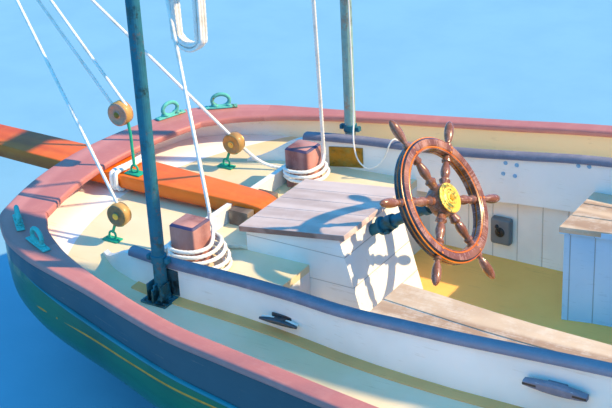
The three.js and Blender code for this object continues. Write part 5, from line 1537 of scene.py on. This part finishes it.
@dataclass
class Blocks:
    """Sheet blocks on their eyes, and the block on the boomkin."""

    radius: float = 0.044
    half: float = 0.023
    side_blocks: tuple[Point, Point] = ((-3.96, 0.389, 0.745), (-3.96, -0.389, 0.745))
    middle: Point = (-4.236, 0.0, 0.976)

    def shell(self, form: Form, centre: Point, radius: float, half: float) -> None:
        """Wooden shell between two bronze discs."""
        wood = [(0.0, -half + 0.004), (radius - 0.004, -half + 0.004), (radius + 0.001, -half + 0.009),
                (radius + 0.003, 0.0), (radius + 0.001, half - 0.009), (radius - 0.004, half - 0.004),
                (0.0, half - 0.004)]
        form.lathe(wood, centre, (0, 1, 0), 36, 1)
        for way in (-1, 1):
            disc = [(0, half - 0.006), (radius - 0.001, half - 0.006), (radius, half - 0.002),
                    (radius - 0.003, half), (radius - 0.009, half), (radius - 0.011, half - 0.0015),
                    (0.016, half - 0.0015), (0.013, half + 0.002), (0.006, half + 0.003), (0, half + 0.003)]
            form.lathe(disc, centre, (0, way, 0), 36, 0)
            boss = [(0, half), (0.0135, half), (0.0132, half + 0.003), (0.006, half + 0.0045),
                    (0, half + 0.0045)]
            form.lathe(boss, centre, (0, way, 0), 20, 3)

    def build(self) -> None:
        """Makes the three blocks."""
        names = ("sheet_block_port", "sheet_block_starboard")
        for name, cheek, centre in zip(names, (CHEEK_GOLD, CHEEK_GREY), self.side_blocks):
            form = Form()
            self.shell(form, centre, self.radius, self.half)
            x, y, z = centre
            eye_x = x - 0.049
            deck = LINES.deck(eye_x)
            loop = [(x + 0.03 * sin(a) - 0.012, y, z + (self.radius + 0.004) * -cos(a) * 0.3 - 0.036)
                    for a in spread(0, 2 * pi, 18)]
            form.tube(loop, 0.0045, 10, 2)
            form.tube(hoop((eye_x, y + 0.003, deck + 0.02), 0.016, 0.017, 18), 0.0045, 10, 2)
            form.tube([(eye_x + 0.004, y + 0.002, deck + 0.034), (eye_x + 0.02, y, z - 0.052)], 0.006, 10, 2)
            form.block((eye_x - 0.038, y - 0.02, deck + 0.0005), (eye_x + 0.038, y + 0.02, deck + 0.007),
                       0.0025, mark=2)
            for sx in (-1, 1):
                form.stud((0.005, 0.004, 0.003, 0.0035), (eye_x + sx * 0.028, y, deck + 0.0065), UP, 12, 2)
            form.make(f"{name}_made", [cheek, BLOCK_WOOD, GREEN_PATINA, BRASS], replaced=[name])
        form = Form()
        self.shell(form, self.middle, 0.049, 0.025)
        x, y, z = self.middle
        form.ball((x, y, z + 0.03), 0.026, (0.9, 0.85, 1.0), 1)
        foot = 0.714
        form.tube([(x + 0.035, y, z - 0.035), (x + 0.041, y, z - 0.085), (x + 0.043, y, foot + 0.034)],
                  0.0065, 12, 2)
        form.tube(hoop((x + 0.043, y, foot + 0.02), 0.017, 0.017, 18), 0.005, 10, 2)
        form.block((x + 0.005, y - 0.024, foot - 0.001), (x + 0.081, y + 0.024, foot + 0.006), 0.002, mark=2)
        form.make("centre_block_made", [CHEEK_PINK, BLOCK_WOOD, GREEN_PATINA, BRONZE],
                  replaced=["centre_block"])


@dataclass
class Cabin:
    """Cabin sides, roof, hatches, doors and portlights."""

    side_lights: Point = (-0.6, 0.3)
    front_lights: Point = (-0.3, 0.3)
    doors: Point = (-1.202, -1.183)
    door_half: float = 0.31
    knob_y: float = 0.026
    door_run: Point = (0.728, 1.096)
    hatch: tuple[Point, Point] = ((-1.23, -0.34), (-0.6, 0.34))
    fore_hatch: tuple[Point, Point] = ((2.15, -0.26), (2.65, 0.26))
    plank_gap: float = 0.004

    def build(self) -> None:
        """Makes the cabin's pieces."""
        dress(WHITE_PAINT, "cabin_trunk", "cabin_bulkhead")
        dress(DECK_PAINT, "cabin_roof")
        dress(VARNISH, "fore_hatch_coaming")
        dress(DOOR_VARNISH, "companion_door_port", "companion_door_starboard")
        dress(VARNISH, "companion_hatch", "fore_hatch_lid")
        self.lights()
        self.door_panels()
        self.planks("hatch_planks", "companion_hatch", "sliding_hatch", self.hatch, 7, 0.03)
        self.planks("fore_hatch_planks", "fore_hatch_lid", "fore_hatch", self.fore_hatch, 6, 0.02)

    def lights(self) -> None:
        """Bronze rims and glass of the portlights."""
        form = Form()
        half = smooth([(-1.17, 0.748), (0, 0.72), (1.1, 0.62)])
        spots = [(Vector((x, side * half(x), 0.93)), Vector((0, side, 0)), 0.09) for x in self.side_lights
                 for side in (-1, 1)]
        spots += [(Vector((1.1, y, 0.97)), Vector((1, 0, 0)), 0.075) for y in self.front_lights]
        for centre, out, r in spots:
            rim = [(r - 0.012, -0.01), (r + 0.018, -0.01), (r + 0.018, 0.004), (r + 0.01, 0.009),
                   (r - 0.004, 0.009), (r - 0.012, 0.003)]
            form.lathe(rim, centre, out, 40, 0, True)
            form.lathe([(0, -0.006), (r - 0.008, -0.006), (r - 0.008, -0.001), (0, -0.001)], centre, out,
                       40, 1)
            side, other = across(out)
            for k in range(8):
                a = pi * (k + 0.5) / 4
                spot = centre + (side * cos(a) + other * sin(a)) * (r + 0.012) + out * 0.0055
                form.stud((0.004, 0.003, 0.002, 0.0025), spot, out, 8)
        form.make("portlights", [BRONZE, GLASS])

    def door_panels(self) -> None:
        """Raised panels and knobs on the two doors."""
        aft, _ = self.doors
        low, high = self.door_run
        for side, body in ((1, "door_port"), (-1, "door_starboard")):
            form = Form()
            middle = (low + high) / 2
            for run in ((low + 0.04, middle - 0.018), (middle + 0.018, high - 0.04)):
                form.flank(side, (aft - 0.0045, aft + 0.002), (0.05, self.door_half - 0.045), run, 0.004)
            form.ball((aft - 0.012, side * self.knob_y, middle), 0.011, mark=1)
            form.stud((0.014, 0.012, 0.003, 0.003), (aft, side * self.knob_y, middle), (-1, 0, 0), 16, 1)
            form.make(f"panels_{body}", [DOOR_VARNISH, BRASS], body)

    def planks(self, name: str, lid: str, body: str, hatch: tuple[Point, Point], count: int,
               margin: float) -> None:
        """Planks on the lid of a hatch, a margin inside its edge."""
        (x0, y0), (x1, y1) = hatch
        top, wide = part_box(lid)[1].z, y1 - y0 - 2 * margin
        form = Form()
        for k in range(count):
            low, high = y0 + margin + wide * k / count, y0 + margin + wide * (k + 1) / count - self.plank_gap
            form.block((x0 + margin, low, top - 0.012), (x1 - margin, high, top + 0.003), 0.0015)
        form.make(name, VARNISH, body)


@dataclass
class Rig:
    """Spars, stowed sail and standing rigging."""

    boom_z: float = 1.985
    sail: tuple[Point, ...] = ((-4.75, 0.04, 0.06), (-4.3, 0.085, 0.12), (-3.0, 0.11, 0.16),
                               (-1.0, 0.13, 0.2), (0.5, 0.14, 0.25), (1.04, 0.1, 0.3))
    sail_foot: float = 2.0503
    folds: int = 7
    ties: tuple[float, ...] = (-4.2, -3.3, -2.4, -1.5, -0.6, 0.3)

    def build(self) -> None:
        """Makes the rig's pieces."""
        dress(MAST_SPAR, "mast")
        dress(SPAR, "boom", "bowsprit")
        dress(BITT_WOOD, "samson_post")
        dress(WIRE, "forestay", "backstay", "shrouds_port", "shrouds_starboard")
        self.sail_folds()

    def sail_folds(self) -> None:
        """Stowed sail in flaked folds, with its ties."""
        half = smooth([(x, w) for x, w, _ in self.sail])
        high = smooth([(x, h) for x, _, h in self.sail])
        start, end = self.sail[0][0] + 0.01, self.sail[-1][0] - 0.01
        form, rings = Form(), []
        for x in spread(start, end, 260):
            w, h = half(x) * 0.93, high(x) * 0.95
            pinch = 1 - 0.1 * max(exp(-((x - t) / 0.1) ** 2) for t in self.ties)
            ring = []
            for k in range(64):
                a = 2 * pi * k / 64
                z = 0.5 - 0.5 * cos(a)
                swing = 2 * pi * self.folds * z + 0.9 * sin(1.7 * x) + (0.8 if a < pi else 0.0)
                wave = 1 - 0.085 * (0.5 + 0.5 * cos(swing)) - 0.025 * sin(5.3 * x + 7 * a)
                width = w * abs(sin(a)) ** 0.62 * wave * pinch
                lift = h * z * (1 - 0.04 * sin(3.1 * x) ** 2) * (0.5 + 0.5 * pinch)
                ring.append((x, copysign(width, sin(a)), self.sail_foot + lift))
            rings.append(ring)
        made = form.rings(rings).make("furled_sail", SAILCLOTH, "boom", 180.0, ["stowed_sail"])
        bands = Form()
        for t in self.ties:
            w, h, low = half(t) * 0.86, high(t) * 0.9, self.boom_z - 0.066
            loop = []
            for k in range(41):
                a = 2 * pi * k / 40
                z = low + (self.sail_foot + h + 0.004 - low) * (0.5 - 0.5 * cos(a))
                reach = max(0.066, w + 0.004) if z < self.sail_foot + 0.5 * h else w + 0.004
                loop.append((t, reach * copysign(abs(sin(a)) ** 0.62, sin(a)), z))
            bands.tube(loop, 0.006, 8)
        bands.make("sail_ties", OLD_ROPE, "boom")


@dataclass(frozen=True)
class Lamp:
    """A far lamp.

    Attributes:
        name: the lamp's name.
        turned: direction it shines from: degrees off the bow to starboard, and degrees up.
        strength: its strength.
        width: its apparent width in degrees, which softens its shadows.
        colour: its colour.
    """

    name: str
    turned: Point
    strength: float
    width: float
    colour: Colour

    def build(self) -> None:
        """Sets the lamp."""
        azimuth, height = (radians(a) for a in self.turned)
        level = cos(height)
        towards = Vector((cos(azimuth) * level, -sin(azimuth) * level, sin(height)))
        light = bpy.data.lights.new(self.name, "SUN")
        light.energy, light.angle, light.color = self.strength, radians(self.width), self.colour
        placed(self.name, light).rotation_euler = towards.to_track_quat("Z", "Y").to_euler()


@dataclass
class Stage:
    """Camera, lamps, sky and the floor at water level."""

    camera_at: Point = (-0.582, -4.2, 3.141)
    turns: Point = (33.4, 25.4, -3.0)
    lens: float = 85.0
    film: float = 36.0
    sight: float = 200.0
    lamps: tuple[Lamp, ...] = (Lamp("sun", (-24.0, 39.0), 6.6, 1.0, (1.0, 0.74, 0.42)),
                               Lamp("soft_side", (75.0, 45.0), 0.9, 50.0, (0.22, 0.66, 1.0)))
    sky: Colour = (0.05, 0.37, 0.86)
    sky_strength: float = 1.25
    floor_half: float = 40.0

    def camera(self) -> None:
        """Sets the camera solved from the photo."""
        yaw, pitch, roll = (radians(a) for a in self.turns)
        ahead = Vector((-sin(yaw) * cos(pitch), cos(yaw) * cos(pitch), -sin(pitch)))
        right = Vector((cos(yaw), sin(yaw), 0))
        up = right.cross(ahead)
        c, s = cos(roll), sin(roll)
        basis = Matrix((c * right + s * up, -s * right + c * up, -ahead)).transposed()
        data = bpy.data.cameras.new("camera")
        data.lens, data.sensor_width, data.clip_end = self.lens, self.film, self.sight
        camera = placed("camera", data)
        camera.matrix_world = Matrix.Translation(Vector(self.camera_at)) @ basis.to_4x4()
        bpy.context.scene.camera = camera

    def build(self) -> None:
        """Sets the camera, the lamps, the sky and the plain floor."""
        self.camera()
        for lamp in self.lamps:
            lamp.build()
        world = bpy.data.worlds.new("sky")
        world.use_nodes = True
        background = world.node_tree.nodes["Background"]
        background.inputs["Color"].default_value = (*self.sky, 1.0)
        background.inputs["Strength"].default_value = self.sky_strength
        bpy.context.scene.world = world
        bpy.context.scene.view_settings.view_transform = "Standard"
        half = self.floor_half
        mesh = bpy.data.meshes.new("floor")
        corners = [(-half, -half, 0), (half, -half, 0), (half, half, 0), (-half, half, 0)]
        mesh.from_pydata(corners, [], [(0, 1, 2, 3)])
        mesh.materials.append(FLOOR_PAINT.material())
        placed("floor", mesh)


def main() -> None:
    """Builds the classes in order and logs each one."""
    logging.basicConfig(level=logging.INFO, format="%(message)s")
    for part in (Stage(), Ropes(), Hull(), Rail(), Deck(), SternGear(), Blocks(), Steering(), Benches(),
                 Cabin(), Rig()):
        LOG.info("making %s", type(part).__name__)
        part.build()


if __name__ == "__main__":
    main()
